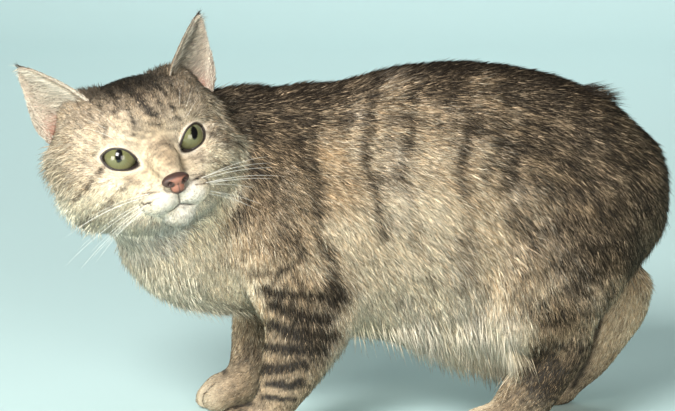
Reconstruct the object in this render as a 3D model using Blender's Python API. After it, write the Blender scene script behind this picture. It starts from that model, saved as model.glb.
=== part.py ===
"""A manx cat at life size, standing, with its head turned back over its left shoulder.

Metres, +Z up. The cat faces -X and its left side is towards -Y, so its tailless rump
is at +X. Lengths and places below are named in millimetres. Every form reaches out to
the tips of the coat. The cat is modelled whole and then parted by thin plane cuts.
"""

from math import cos, pi, radians, sin

import bmesh
import bpy
import numpy as np
from mathutils import Euler, Matrix, Vector

MM = 0.001
GAP = 0.3  # between neighbouring parts
SIDEWAYS = Vector((0, 1, 0))
SHARP_ANGLE = 50  # degrees between faces from which an edge stays sharp

# The head's own frame: x to the cat's left, y back from the face, z up, in millimetres,
# with its origin midway between the eyes.
HEAD_PLACE = Vector((-124, -76, 211))
HEAD_TURN = Euler((radians(-9), radians(-14), radians(18)), "YXZ")

EYE_OUT, EYE_BACK, EYE_RADIUS = 23.5, 8.0, 11.0
EYE_TOE_OUT = 22  # degrees that each eye looks outwards
LID = 1.5  # thickness of the lids over the eyeball
EYE_OPENING = (12.4, 7.7)  # half length and half height between the lids
EYE_SLANT = 20  # degrees that the outer corner is raised

EAR_HALF_WIDTH, EAR_CUP, EAR_WALL = 20.5, 17.0, 2.6
EAR_ROOT = Vector((40, 43, 32))
EAR_TIP = Vector((65, 43, 76))
EAR_FRONT_EDGE_TO_BACK_EDGE = Vector((31.4, 22, -28))

NOSE_TIP = Vector((0, -26.5, -23))

# Outline of the trunk: x, height of the back, height of the belly, half width
TRUNK = (
    (-88, 205, 112, 26),
    (-76, 232, 95, 42),
    (-45, 243, 81, 54),
    (-8, 246, 67, 59),
    (35, 256, 57, 64),
    (78, 260, 46, 68),
    (115, 257, 41, 68),
    (150, 249, 55, 66),
    (180, 236, 84, 61),
    (203, 217, 110, 52),
    (218, 203, 131, 39),
    (226, 183, 148, 18),
)
# Tubes: x, y, z of the middle, half width across the cat, half depth
NECK = (
    (-45, 2, 165, 52, 76),
    (-82, 1, 171, 49, 74),
    (-108, -4, 177, 46, 66),
    (-130, -20, 184, 44, 56),
    (-140, -36, 192, 38, 44),
)
CHEST_FRONT = ((-82, -2, 141), (80, 44, 62))
FORELEG_NEAR = (
    (-48, -30, 190, 12, 24),
    (-44, -40, 155, 19, 37),
    (-34, -46, 120, 20, 38),
    (-23, -47, 92, 19, 36),
    (-30, -46, 66, 17.5, 28),
    (-39, -45, 44, 16, 22),
    (-47, -44, 26, 16, 16),
    (-52, -44, 12, 14, 14),
)
FORELEG_FAR = (
    (-58, 30, 190, 12, 22),
    (-58, 40, 155, 19, 33),
    (-56, 44, 120, 20, 30),
    (-58, 42, 92, 18, 25),
    (-63, 40, 66, 16.5, 20),
    (-65, 38, 44, 16, 18),
    (-68, 37, 28, 16, 17),
    (-73, 37, 13, 14, 14),
)
THIGH = (
    (164, -30, 195, 20, 34),
    (160, -42, 162, 26, 46),
    (146, -50, 128, 26, 50),
    (126, -56, 98, 22, 40),
    (108, -58, 78, 16, 22),
)
SHANK = (
    (104, -58, 82, 15, 17),
    (122, -58, 90, 20, 30),
    (146, -55, 94, 19, 29),
    (161, -52, 88, 16, 19),
    (168, -51, 80, 13, 11),
)
CANNON = (
    (161, -51, 94, 11, 11),
    (154, -51, 76, 15, 21),
    (140, -50, 54, 15, 22),
    (127, -50, 34, 15.5, 21.5),
    (113, -50, 18, 15, 18),
)
# How far back the far hind leg stands from the near one, at hip, knee, hock and foot
FAR_BACK = {"hip": 8, "knee": 35, "hock": 54, "foot": 46}

# Paws: middle of the palm, then the forward reach of the toes from it
PALM_RADII = (25, 18, 14.5)
PAWS = {
    "front_near": (-66, -44, 12, 33),
    "front_far": (-80, 37, 14, 30),
    "hind_near": (103, -50, 13, 32),
    "hind_far": (151, 50, 12, 30),
}
TOE_RADII = (12, 6.6, 9.6)
TOE_SPREAD = (-13.5, -4.8, 4.8, 13.5)
TOE_SETBACK = (8, 0, 0, 7)

# Colour and roughness of each kind of part
FINISHES = {
    "head": ((0.50, 0.43, 0.34), 0.85),
    "nose": ((0.45, 0.20, 0.15), 0.45),
    "eye": ((0.30, 0.33, 0.14), 0.1),
    "ear": ((0.50, 0.40, 0.34), 0.8),
    "neck": ((0.22, 0.18, 0.13), 0.85),
    "chest": ((0.25, 0.20, 0.14), 0.85),
    "belly": ((0.36, 0.29, 0.19), 0.85),
    "rump": ((0.14, 0.11, 0.08), 0.85),
    "foreleg": ((0.24, 0.20, 0.14), 0.85),
    "hind_leg": ((0.17, 0.13, 0.09), 0.85),
    "front_paw": ((0.33, 0.27, 0.18), 0.85),
    "hind_foot": ((0.25, 0.18, 0.11), 0.85),
}

VOXEL_BODY, VOXEL_HEAD = 2.4, 1.5
BODY_TRIANGLES, HEAD_TRIANGLES = 7000, 4600


def new_object(name, bm):
    mesh = bpy.data.meshes.new(name)
    bmesh.ops.recalc_face_normals(bm, faces=bm.faces)
    bm.to_mesh(mesh)
    bm.free()
    made = bpy.data.objects.new(name, mesh)
    bpy.context.scene.collection.objects.link(made)
    return made


def smoothed(rows, steps):
    """Rows between the given ones, on a Catmull-Rom curve through all of them."""
    rows = np.array(rows, float)
    ends = (2 * rows[0] - rows[1], rows, 2 * rows[-1] - rows[-2])
    padded = np.vstack(ends)
    made = []
    for i in range(len(rows) - 1):
        a, b, c, d = padded[i : i + 4]
        for t in np.linspace(0, 1, steps, endpoint=False):
            bend = (2 * a - 5 * b + 4 * c - d) * t**2 + (3 * b - a - 3 * c + d) * t**3
            made.append((2 * b + (c - a) * t + bend) / 2)
    made.append(rows[-1])
    return np.array(made)


def tube(name, stations, egg=0.0, steps=6, sides=36, upright=False):
    """A closed tube through x, y, z, half width and half depth; egg widens its underside."""
    rows = smoothed(stations, steps)
    tangents = np.gradient(rows[:, :3], axis=0)
    bm = bmesh.new()
    rings = []
    for row, tangent in zip(rows, tangents):
        along = Vector((1, 0, 0)) if upright else Vector(tangent).normalized()
        side = (SIDEWAYS - along * SIDEWAYS.dot(along)).normalized()
        across = side.cross(along)
        ring = []
        for k in range(sides):
            turn = 2 * pi * k / sides
            out = side * row[3] * cos(turn) * (1 + egg * sin(turn))
            place = Vector(row[:3]) + out + across * row[4] * sin(turn)
            ring.append(bm.verts.new(place * MM))
        rings.append(ring)
    for first, second in zip(rings, rings[1:]):
        for k in range(sides):
            n = (k + 1) % sides
            bm.faces.new((first[k], first[n], second[n], second[k]))
    bm.faces.new(rings[0])
    bm.faces.new(rings[-1])
    return new_object(name, bm)


def ball(name, middle, radii, placing=None, tilt=None, detail=4):
    """An ellipsoid in millimetres, set by the placing matrix if there is one."""
    matrix = Matrix.Translation(Vector(middle))
    if tilt:
        matrix = matrix @ Euler([radians(a) for a in tilt]).to_matrix().to_4x4()
    matrix = matrix @ Matrix.Diagonal((*radii, 1))
    matrix = (placing or Matrix.Identity(4)) @ matrix
    bm = bmesh.new()
    bmesh.ops.create_icosphere(bm, subdivisions=detail, radius=1, matrix=Matrix.Scale(MM, 4) @ matrix)
    return new_object(name, bm)


def head_matrix():
    return Matrix.Translation(HEAD_PLACE) @ HEAD_TURN.to_matrix().to_4x4()


def trunk():
    rows = [(x, 0, (top + low) / 2, half, (top - low) / 2) for x, top, low, half in TRUNK]
    return tube("trunk", rows, egg=0.1, upright=True)


def paw(which):
    """A palm and four toes in a fan, the two middle ones further forward."""
    x, y, z, reach = PAWS[which]
    pieces = [ball("palm", (x, y, z), PALM_RADII)]
    for spread, setback in zip(TOE_SPREAD, TOE_SETBACK):
        middle = (x - reach + TOE_RADII[0] + setback, y + spread, TOE_RADII[2] - 1.2)
        pieces.append(ball("toe", middle, TOE_RADII, tilt=(0, 12, -spread * 0.8)))
    return pieces


def far_side(stations, start, end):
    """The same leg on the cat's right, set back between two named joints."""
    shifts = np.linspace(FAR_BACK[start], FAR_BACK[end], len(stations))
    return [(x + back, -y, z, half, depth) for (x, y, z, half, depth), back in zip(stations, shifts)]


def legs():
    return [
        tube("foreleg near", FORELEG_NEAR),
        tube("foreleg far", FORELEG_FAR),
        tube("thigh near", THIGH),
        tube("thigh far", far_side(THIGH, "hip", "knee")),
        tube("shank near", SHANK),
        tube("shank far", far_side(SHANK, "knee", "hock")),
        tube("cannon near", CANNON),
        tube("cannon far", far_side(CANNON, "hock", "foot")),
    ]


def head_masses():
    """Cranium, brow, cheeks and throat, in the head's own frame."""
    placing = head_matrix()
    forms = [
        ball("cranium", (0, 40, 8), (62, 46, 42), placing),
        ball("brow", (0, 17, 18), (38, 26, 26), placing),
        ball("muzzle", (0, -2, -30), (19, 22, 18), placing),
        ball("throat", (0, 26, -37), (44, 36, 24), placing),
    ]
    for side in (-1, 1):
        forms.append(ball("ear base", (side * 31, 46, 28), (22, 17, 23), placing))
        forms.append(ball("cheek", (side * 35, 34, -17), (32, 38, 33), placing))
        forms.append(ball("temple", (side * 40, 43, 2), (29, 30, 27), placing))
        forms.append(ball("under eye", (side * 23, 8, -19), (21, 20, 18), placing))
    return forms


def orbits():
    """Hollows of the face that the eyelids stand in."""
    placing = head_matrix()
    tilts = {side: (0, -side * EYE_SLANT, side * EYE_TOE_OUT) for side in (-1, 1)}
    places = {side: (side * 24.5, -8, -0.5) for side in (-1, 1)}
    return [ball("orbit", places[s], (17, 8.5, 12.5), placing, tilts[s]) for s in (-1, 1)]


def head_details():
    """Bridge of the nose, whisker pads, chin and the domes of the eyelids."""
    placing = head_matrix()
    forms = [
        ball("bridge", (0, -9.5, -8.5), (11.5, 20.5, 11), placing, tilt=(40, 0, 0)),
        ball("chin", (0, -9, -45), (13, 11, 10.5), placing),
    ]
    for side in (-1, 1):
        forms.append(ball("pad", (side * 10.5, -12.5, -33), (15, 14.5, 11.5), placing))
        forms.append(eyeball("lids", side, EYE_RADIUS + LID))
    return forms


def remeshed(name, forms, voxel, rounds, triangles=None):
    """One closed surface round all the forms, with the valleys between them softened."""
    bm = bmesh.new()
    for form in forms:
        bm.from_mesh(form.data)
        bpy.data.objects.remove(form)
    whole = new_object(name, bm)
    remesh = whole.modifiers.new("Fuse", "REMESH")
    remesh.mode = "VOXEL"
    remesh.voxel_size = voxel * MM
    soften = whole.modifiers.new("Soften", "SMOOTH")
    soften.factor = 0.5
    soften.iterations = rounds
    applied(whole)
    if triangles:
        thin = whole.modifiers.new("Thin", "DECIMATE")
        thin.ratio = triangles / (2 * len(whole.data.polygons))
        applied(whole)
    return whole


def applied(thing):
    """Bakes an object's modifiers into its mesh."""
    graph = bpy.context.evaluated_depsgraph_get()
    mesh = bpy.data.meshes.new_from_object(thing.evaluated_get(graph))
    thing.modifiers.clear()
    thing.data = mesh
    return thing


def side_of(thing, name, place, normal):
    """The part of a closed mesh on the side that the normal points to, capped at the cut."""
    bm = bmesh.new()
    bm.from_mesh(thing.data)
    everything = bm.verts[:] + bm.edges[:] + bm.faces[:]
    way = Vector(normal).normalized()
    start = (Vector(place) + way * GAP / 2) * MM
    bmesh.ops.bisect_plane(
        bm, geom=everything, dist=1e-7, plane_co=start, plane_no=way, clear_inner=True
    )
    rim = [edge for edge in bm.edges if edge.is_boundary]
    bmesh.ops.holes_fill(bm, edges=rim, sides=0)
    bmesh.ops.triangulate(bm, faces=[f for f in bm.faces if len(f.verts) > 4])
    return new_object(name, bm)


def parted(thing, name, rest_name, place, normal):
    """Splits a closed mesh at a plane into two named parts with the gap between them."""
    thing.name = "whole"
    taken = side_of(thing, name, place, normal)
    rest = side_of(thing, rest_name, place, -Vector(normal))
    bpy.data.objects.remove(thing)
    return taken, rest


def boolean(thing, operation, *tools):
    """Joins or cuts a mesh by closed tools, which are used up."""
    group = bpy.data.collections.new("tools")
    bpy.context.scene.collection.children.link(group)
    for tool in tools:
        bpy.context.scene.collection.objects.unlink(tool)
        group.objects.link(tool)
    step = thing.modifiers.new(operation.title(), "BOOLEAN")
    step.operation = operation
    step.operand_type = "COLLECTION"
    step.collection = group
    applied(thing)
    for tool in tools:
        bpy.data.objects.remove(tool)
    bpy.data.collections.remove(group)
    return thing


def largest(thing):
    """Keeps only the largest closed surface of a mesh."""
    bm = bmesh.new()
    bm.from_mesh(thing.data)
    unseen = set(bm.verts)
    shells = []
    while unseen:
        stack = [unseen.pop()]
        shell = set(stack)
        while stack:
            for edge in stack.pop().link_edges:
                for vert in edge.verts:
                    if vert in unseen:
                        unseen.remove(vert)
                        shell.add(vert)
                        stack.append(vert)
        shells.append(shell)
    shells.sort(key=len)
    loose = [vert for shell in shells[:-1] for vert in shell]
    bmesh.ops.delete(bm, geom=loose, context="VERTS")
    bm.to_mesh(thing.data)
    bm.free()
    return thing


def grown(thing, name, by):
    """A copy whose surface lies this many millimetres further out."""
    copy = bpy.data.objects.new(name, thing.data.copy())
    bpy.context.scene.collection.objects.link(copy)
    swell = copy.modifiers.new("Swell", "DISPLACE")
    swell.strength = by * MM
    swell.mid_level = 0
    return applied(copy)


def eye_frame(side):
    """Eyeball's frame in the head's frame: -y looks out between the lids."""
    turn = Euler((0, radians(-side * EYE_SLANT), radians(side * EYE_TOE_OUT)))
    middle = Matrix.Translation((side * EYE_OUT, EYE_BACK, 0))
    return head_matrix() @ middle @ turn.to_matrix().to_4x4()


def lid_opening(side, points=28):
    """An almond-shaped bar that opens the lids from the eyeball's middle outwards."""
    half_length, half_height = EYE_OPENING
    bm = bmesh.new()
    rim = []
    for k in range(points):
        turn = 2 * pi * k / points
        x = half_length * cos(turn)
        z = half_height * sin(turn) * (1 - 0.45 * cos(turn) ** 4)
        rim.append(bm.verts.new((x, 0, z)))
    face = bm.faces.new(rim)
    moved = bmesh.ops.extrude_face_region(bm, geom=[face])["geom"]
    outer = [vert for vert in moved if isinstance(vert, bmesh.types.BMVert)]
    bmesh.ops.translate(bm, verts=outer, vec=(0, -2 * EYE_RADIUS, 0))
    bm.transform(Matrix.Scale(MM, 4) @ eye_frame(side))
    return new_object("lid opening", bm)


def eyeball(name, side, radius, detail=4):
    return ball(name, (0, 0, 0), (radius,) * 3, eye_frame(side), detail=detail)


def line_tool(name, places, radius):
    """A thin round bar along a smooth line in the head's frame, as a closed mesh."""
    rows = [(*place, radius, radius) for place in places]
    made = tube(name, rows, steps=5, sides=8)
    made.data.transform(Matrix.Scale(MM, 4) @ head_matrix() @ Matrix.Scale(1 / MM, 4))
    return made


def mouth_tools():
    """The cleft under the nose and the line of the lips on each side."""
    cleft = line_tool("cleft", ((0, -33, -25), (0, -31.5, -32), (0, -28, -38.5), (0, -20, -42)), 1.1)
    tools = [cleft]
    for side in (-1, 1):
        lips = (
            (0, -29.5, -37),
            (side * 5, -27.5, -40.5),
            (side * 11, -22.5, -43.0),
            (side * 16, -15, -44.0),
            (side * 19, -8, -44.5),
        )
        tools.append(line_tool("lips", lips, 1.2))
    return tools


def nose():
    """The leather of the nose, a wedge that narrows downwards, with two nostrils."""
    placing = head_matrix()
    x, y, z = NOSE_TIP
    body = ball("nose", (x, y, z + 1), (9.4, 5.5, 4.6), placing, detail=3)
    lower = ball("lower", (x, y + 0.6, z - 3.4), (4.8, 4.6, 5.0), placing, detail=3)
    boolean(body, "UNION", lower)
    nostrils = []
    for side in (-1, 1):
        middle = (side * 5.2, y - 4.4, z - 0.4)
        nostrils.append(ball("nostril", middle, (2.2, 2.6, 1.5), placing, (0, side * 30, 0), 2))
    boolean(body, "DIFFERENCE", *nostrils)
    return body


def ear(name, side, rows=9, columns=12):
    """A cup that opens forwards, its wall thickest at the root."""
    root, tip = EAR_ROOT.copy(), EAR_TIP.copy()
    axis = (tip - root).normalized()
    outward = EAR_FRONT_EDGE_TO_BACK_EDGE
    outward = (outward - axis * outward.dot(axis)).normalized()
    backward = outward.cross(axis)
    if backward.y < 0:
        backward = -backward
    bm = bmesh.new()
    skins = []
    for wall in (0.0, EAR_WALL):
        skin = []
        for i in range(rows + 1):
            t = -0.22 + 1.22 * i / rows
            up = max(t, 0)
            width = EAR_HALF_WIDTH * (1 - up**1.35) ** 0.8 + 1.2
            cup = EAR_CUP * (1 - up) ** 0.75 + 1.0
            thin = wall * (1 - 0.45 * up)
            line = []
            for j in range(columns + 1):
                s = -1 + 2 * j / columns
                bulge = 1 + 0.16 * sin(pi * min(1, up * 1.6)) * (s > 0) * s
                place = root.lerp(tip, t)
                place = place + outward * ((width - thin * 0.5) * s * bulge)
                place = place + backward * ((cup - thin) * (1 - s * s) - cup * 0.45)
                place.x *= side
                line.append(bm.verts.new(place))
            skin.append(line)
        skins.append(skin)
    outer, inner = skins
    for skin in skins:
        for low, high in zip(skin, skin[1:]):
            for j in range(columns):
                bm.faces.new((low[j], low[j + 1], high[j + 1], high[j]))
    for i in range(rows):
        for j in (0, columns):
            bm.faces.new((outer[i][j], outer[i + 1][j], inner[i + 1][j], inner[i][j]))
    for i in (0, rows):
        for j in range(columns):
            bm.faces.new((outer[i][j], outer[i][j + 1], inner[i][j + 1], inner[i][j]))
    bm.transform(Matrix.Scale(MM, 4) @ head_matrix())
    return new_object(name, bm)


def clear_scene():
    for thing in list(bpy.data.objects):
        bpy.data.objects.remove(thing)


def coloured(thing):
    """Gives a part its own plain material, in the colour of its kind."""
    kind = thing.name.removesuffix("_left").removesuffix("_right")
    rgb, roughness = FINISHES[kind]
    material = bpy.data.materials.new(thing.name)
    material.use_nodes = True
    shader = material.node_tree.nodes["Principled BSDF"]
    shader.inputs["Base Color"].default_value = (*rgb, 1)
    shader.inputs["Roughness"].default_value = roughness
    shader.inputs["Metallic"].default_value = 0
    thing.data.materials.clear()
    thing.data.materials.append(material)


def fused(voxel, triangles, with_body):
    """The masses of the cat in one smooth surface, then its finer forms fused on."""
    masses = [tube("neck", NECK), ball("chest front", *CHEST_FRONT), *head_masses()]
    if with_body:
        masses += [trunk(), *legs()]
    base = remeshed("base", masses, 3.0, 14)
    if with_body:
        details = [form for which in PAWS for form in paw(which)]
    else:
        boolean(base, "DIFFERENCE", *orbits())
        details = head_details()
    return remeshed("fused", [base, *details], voxel, 4, triangles)


# Planes of the thin cuts: a place on each, and the way towards the first part
HEAD_CUT = ((-112, -15, 185), (-0.61, -0.70, 0.37))
NECK_CUT = ((-86, 0, 150), (-0.93, 0, 0.37))
CHEST_CUT = ((8, 0, 100), (-1, 0, 0))
BELLY_CUT = ((76, 0, 80), (-1, 0, 0.12))
FORELEG_CUT = ((0, 20, 92), (0, 0.93, -0.37))
HIND_LEG_CUT = ((0, 18, 66), (0, 0.93, -0.37))
PAW_CUT = ((0, 0, 30), (0, 0, -1))
FOOT_CUT = ((0, 0, 49), (0, 0, -1))
FLOOR = ((0, 0, -GAP / 2), (0, 0, 1))


def on_side(cut, side):
    """The same cut for the cat's left leg, with side -1, or its right, with side 1."""
    (x, y, z), (nx, ny, nz) = cut
    return (x, y * side, z), (nx, ny * side, nz)


def body_parts():
    whole = fused(VOXEL_BODY, BODY_TRIANGLES, True)
    spare, body = parted(whole, "spare", "body", *HEAD_CUT)
    over, body = parted(body, "over", "under", *FLOOR)
    bpy.data.objects.remove(spare)
    bpy.data.objects.remove(body)
    body = over
    neck, body = parted(body, "neck", "body", *NECK_CUT)
    front, back = parted(body, "front", "back", *CHEST_CUT)
    belly, back = parted(back, "belly", "back", *BELLY_CUT)
    parts = [neck, belly]
    for side, word in ((-1, "left"), (1, "right")):
        leg, front = parted(front, "leg", "chest", *on_side(FORELEG_CUT, side))
        parts += parted(leg, "front_paw_" + word, "foreleg_" + word, *PAW_CUT)
        leg, back = parted(back, "leg", "rump", *on_side(HIND_LEG_CUT, side))
        parts += parted(leg, "hind_foot_" + word, "hind_leg_" + word, *FOOT_CUT)
    return [largest(part) for part in parts + [front, back]]


def head_part():
    head = fused(VOXEL_HEAD, HEAD_TRIANGLES, False)
    head, rest = parted(head, "head", "rest", *HEAD_CUT)
    bpy.data.objects.remove(rest)
    largest(head)
    for side in (-1, 1):
        boolean(head, "DIFFERENCE", lid_opening(side))
        boolean(head, "DIFFERENCE", eyeball("socket", side, EYE_RADIUS + GAP, 3))
    boolean(head, "DIFFERENCE", *mouth_tools())
    return head


def stand_at_origin(parts):
    """Moves the meshes so that the middle of the underside of their box is the origin."""
    places = np.vstack([np.array([v.co for v in part.data.vertices]) for part in parts])
    low, high = places.min(axis=0), places.max(axis=0)
    shift = Vector((-(low[0] + high[0]) / 2, -(low[1] + high[1]) / 2, -low[2]))
    for part in parts:
        part.data.transform(Matrix.Translation(shift))


def tidied(thing):
    """Drops the slivers that a Boolean leaves where two surfaces nearly touch."""
    bm = bmesh.new()
    bm.from_mesh(thing.data)
    bmesh.ops.remove_doubles(bm, verts=bm.verts, dist=0.02 * MM)
    bmesh.ops.dissolve_degenerate(bm, dist=0.01 * MM, edges=bm.edges)
    bmesh.ops.triangulate(bm, faces=bm.faces)
    bm.to_mesh(thing.data)
    bm.free()
    return thing


def main():
    clear_scene()
    parts = body_parts()
    head = head_part()
    leather = nose()
    boolean(head, "DIFFERENCE", grown(leather, "seat", GAP))
    tidied(largest(head))
    parts += [head, leather]
    for side, word in ((-1, "right"), (1, "left")):
        cup = boolean(ear("ear_" + word, side), "DIFFERENCE", grown(head, "root", GAP))
        parts += [largest(cup), eyeball("eye_" + word, side, EYE_RADIUS, 3)]
    stand_at_origin(parts)
    for part in parts:
        coloured(part)
        part.data.shade_smooth()
        part.data.set_sharp_from_angle(angle=radians(SHARP_ANGLE))


main()
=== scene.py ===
"""The looks of a life-size manx cat: skin, eyes, nose, ears, whiskers, coat and stage.

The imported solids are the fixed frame. One skin is drawn round the solids of the flesh and
lies inside them by the coat's depth. Tufts of hair then rise from it to the solids' surface.
Sizes are in metres unless a name says otherwise. The cat faces -X, its left is towards -Y.
"""

from math import cos, pi, radians, sin

import bmesh
import bpy
import numpy as np
from bpy.props import FloatProperty, FloatVectorProperty, IntProperty, PointerProperty
from mathutils import Euler, Matrix, Vector
from mathutils.bvhtree import BVHTree


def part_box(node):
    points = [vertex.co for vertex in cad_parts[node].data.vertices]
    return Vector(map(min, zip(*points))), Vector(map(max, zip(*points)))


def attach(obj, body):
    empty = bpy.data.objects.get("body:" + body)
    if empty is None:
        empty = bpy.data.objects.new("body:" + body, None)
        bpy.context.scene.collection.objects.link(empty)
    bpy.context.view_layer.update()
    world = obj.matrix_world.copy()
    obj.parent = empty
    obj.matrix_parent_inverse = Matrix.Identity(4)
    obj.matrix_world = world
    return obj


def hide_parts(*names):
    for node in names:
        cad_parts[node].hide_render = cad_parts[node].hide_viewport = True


bl_info = {
    "name": "Manx Cat Looks",
    "version": (1, 0, 0),
    "blender": (4, 5, 0),
    "location": "View3D > Sidebar > Manx Cat",
    "description": "Builds the skin, coat, eyes and stage round a packed manx cat",
    "category": "Object",
}

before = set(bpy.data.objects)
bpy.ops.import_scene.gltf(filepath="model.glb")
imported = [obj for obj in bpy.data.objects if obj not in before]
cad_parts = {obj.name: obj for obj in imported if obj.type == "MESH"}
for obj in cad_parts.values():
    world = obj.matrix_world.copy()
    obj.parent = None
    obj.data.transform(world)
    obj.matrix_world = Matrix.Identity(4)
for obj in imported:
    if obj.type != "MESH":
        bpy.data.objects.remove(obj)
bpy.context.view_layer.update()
MM = 0.001
FAR = 1e9
BAKE_MAP = "OFBake"
LEAST_HEIGHT = 0.2 * MM  # of any hair over the floor
FLESH = (
    "head", "neck", "chest", "belly", "rump",
    "foreleg_left", "foreleg_right", "hind_leg_left", "hind_leg_right",
    "front_paw_left", "front_paw_right", "hind_foot_left", "hind_foot_right",
)

# Each paw in the design: middle of the palm lengthwise and across, and reach of the toes before it
PAWS = ((-66, -44, 33), (-80, 37, 30), (103, -50, 32), (151, 50, 30))
TOE_GAPS = (-9.2, 0.0, 9.2)  # across the paw

# The head's own frame: x to the cat's left, y back from the face, z up, origin between the eyes
HEAD_TURN = Euler((radians(-9), radians(-14), radians(18)), "YXZ").to_matrix()
EYE_BACK = 8.0 * MM  # from the head's origin to the eyes' middles
EYE_TOE_OUT, EYE_SLANT = 22, 20  # degrees
EYE_RADIUS, EYE_SET_BACK = 12.4 * MM, 1.4 * MM  # a rounder ball than the solid, with the same front
# Half sizes of the opening between the lids
OPENING_OUTER, OPENING_INNER, OPENING_HEIGHT = 11.3 * MM, 12.2 * MM, 6.7 * MM
CANTHUS_DIP = 2.2 * MM  # how far the inner corner of the eye droops
DESIGN_MID_EYE = Vector((-124, -76, 211)) * MM  # from the middle of the cat, before the frame's shift


def eye_middle(side):
    low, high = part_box("eye_left" if side > 0 else "eye_right")
    return (low + high) / 2


HEAD_PLACE = (eye_middle(1) + eye_middle(-1)) / 2 - HEAD_TURN @ Vector((0, EYE_BACK, 0))
HEAD = Matrix.Translation(HEAD_PLACE) @ HEAD_TURN.to_4x4()
MIDDLE = HEAD_PLACE - DESIGN_MID_EYE  # where the design's own origin lies in the frame

# The photograph's camera: what it looks at, how far off, how steeply down, its lens and frame
CAMERA_TARGET = Vector((-0.004, 0.0, 0.157))
CAMERA_DISTANCE, CAMERA_DOWN, CAMERA_LENS = 1.6, 11.0, 121.9
PHOTO_WIDTH, PHOTO_HEIGHT, SENSOR = 675, 411, 36.0


def camera_place():
    """Where the camera stands, and the way it looks."""
    down = radians(CAMERA_DOWN)
    look = Vector((0, cos(down), -sin(down)))
    return CAMERA_TARGET + MIDDLE - look * CAMERA_DISTANCE, look


def photo_pixels(points):
    """Pixels of the photograph where points of the left side stand; the right side mirrors it."""
    place, look = camera_place()
    centre = np.array(MIDDLE)
    folded = points - centre
    folded[:, 1] = -np.abs(folded[:, 1])
    rays = folded + centre - np.array(place)
    up = np.array((0, -look.z, look.y))
    depth = rays @ np.array(look)
    focal = CAMERA_LENS / SENSOR * PHOTO_WIDTH
    across = PHOTO_WIDTH / 2 + focal * rays[:, 0] / depth
    along = PHOTO_HEIGHT / 2 - focal * (rays @ up) / depth
    return np.stack([across, along], axis=1)


def in_design(points):
    """Points from the middle of the cat, in millimetres, with both sides folded onto one."""
    design = (points - np.array(MIDDLE)) / MM
    design[:, 1] = np.abs(design[:, 1])
    return design


def in_head(points):
    """Points in the head's own frame, in millimetres."""
    return (points - np.array(HEAD_PLACE)) @ np.array(HEAD_TURN) / MM


def out_of_head(points):
    return points * MM @ np.array(HEAD_TURN).T + np.array(HEAD_PLACE)


# How the coat lies: a place in the design (mm), the way the hair points, length and lift.
# Places on the head are in the head's own frame. Those beside the middle count on both sides.
BODY_LIE = (
    ((-60, 0, 243), (1, 0, -0.05), 15, 24),
    ((-20, 0, 245), (1, 0, 0.0), 15, 20),
    ((60, 0, 260), (1, 0, 0.0), 15, 18),
    ((130, 0, 255), (1, 0, -0.2), 15, 18),
    ((190, 0, 228), (1, 0, -0.7), 16, 20),
    ((222, 0, 180), (0.3, 0, -1), 16, 24),
    ((215, 0, 130), (-0.1, 0, -1), 15, 24),
    ((-90, 42, 220), (1, 0.1, -0.5), 14, 26),
    ((-50, 52, 200), (1, 0.1, -0.6), 14, 22),
    ((-100, 40, 160), (0.7, 0.1, -1), 15, 26),
    ((-60, 50, 150), (0.7, 0, -1), 15, 22),
    ((0, 59, 200), (1, 0, -0.4), 15, 20),
    ((0, 60, 130), (0.8, 0, -0.9), 16, 22),
    ((60, 64, 210), (1, 0, -0.45), 15, 20),
    ((60, 68, 150), (0.9, 0, -0.8), 17, 22),
    ((60, 60, 90), (0.5, -0.1, -1), 20, 24),
    ((110, 66, 210), (1, 0, -0.5), 15, 20),
    ((110, 68, 150), (0.8, 0, -0.9), 17, 22),
    ((110, 62, 90), (0.4, -0.1, -1), 19, 24),
    ((170, 60, 210), (1, 0.1, -0.8), 15, 22),
    ((165, 66, 160), (0.5, 0.1, -1), 15, 22),
    ((190, 55, 140), (0.3, 0.1, -1), 14, 22),
    ((150, 68, 110), (0.35, 0, -1), 12, 20),
    ((120, 68, 80), (0.15, 0, -1), 10, 20),
    ((160, 60, 85), (0.1, 0, -1), 8, 18),
    ((-20, 0, 70), (0.9, 0, -0.5), 18, 28),
    ((40, 0, 60), (0.9, 0, -0.6), 22, 30),
    ((90, 0, 46), (0.9, 0, -0.5), 22, 30),
    ((140, 0, 60), (0.8, 0, -0.4), 16, 26),
    ((-145, 0, 140), (0.2, -0.1, -1), 15, 30),
    ((-130, 0, 110), (0.7, 0, -0.8), 15, 30),
    ((-100, 0, 88), (1, 0, -0.3), 14, 28),
    ((-50, 62, 120), (0.25, 0, -1), 9, 18),
    ((-10, 62, 100), (0.3, 0, -1), 10, 22),
    ((-45, 62, 70), (0.05, 0, -1), 6, 16),
    ((-75, 55, 100), (-0.05, 0, -1), 7, 16),
    ((-50, 60, 35), (-0.1, 0, -1), 4, 14),
    ((-90, 44, 18), (-1, 0, -0.25), 3.2, 12),
    ((-60, 44, 12), (-0.8, 0, -0.6), 3.2, 12),
    ((150, 66, 60), (-0.5, 0, -1), 6, 16),
    ((190, 60, 60), (-0.5, 0, -1), 6, 16),
    ((130, 52, 30), (-0.6, 0, -0.9), 4, 14),
    ((170, 52, 30), (-0.6, 0, -0.9), 4, 14),
    ((85, 50, 16), (-1, 0, -0.25), 3.2, 12),
    ((125, 50, 16), (-1, 0, -0.25), 3.2, 12),
)
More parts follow.
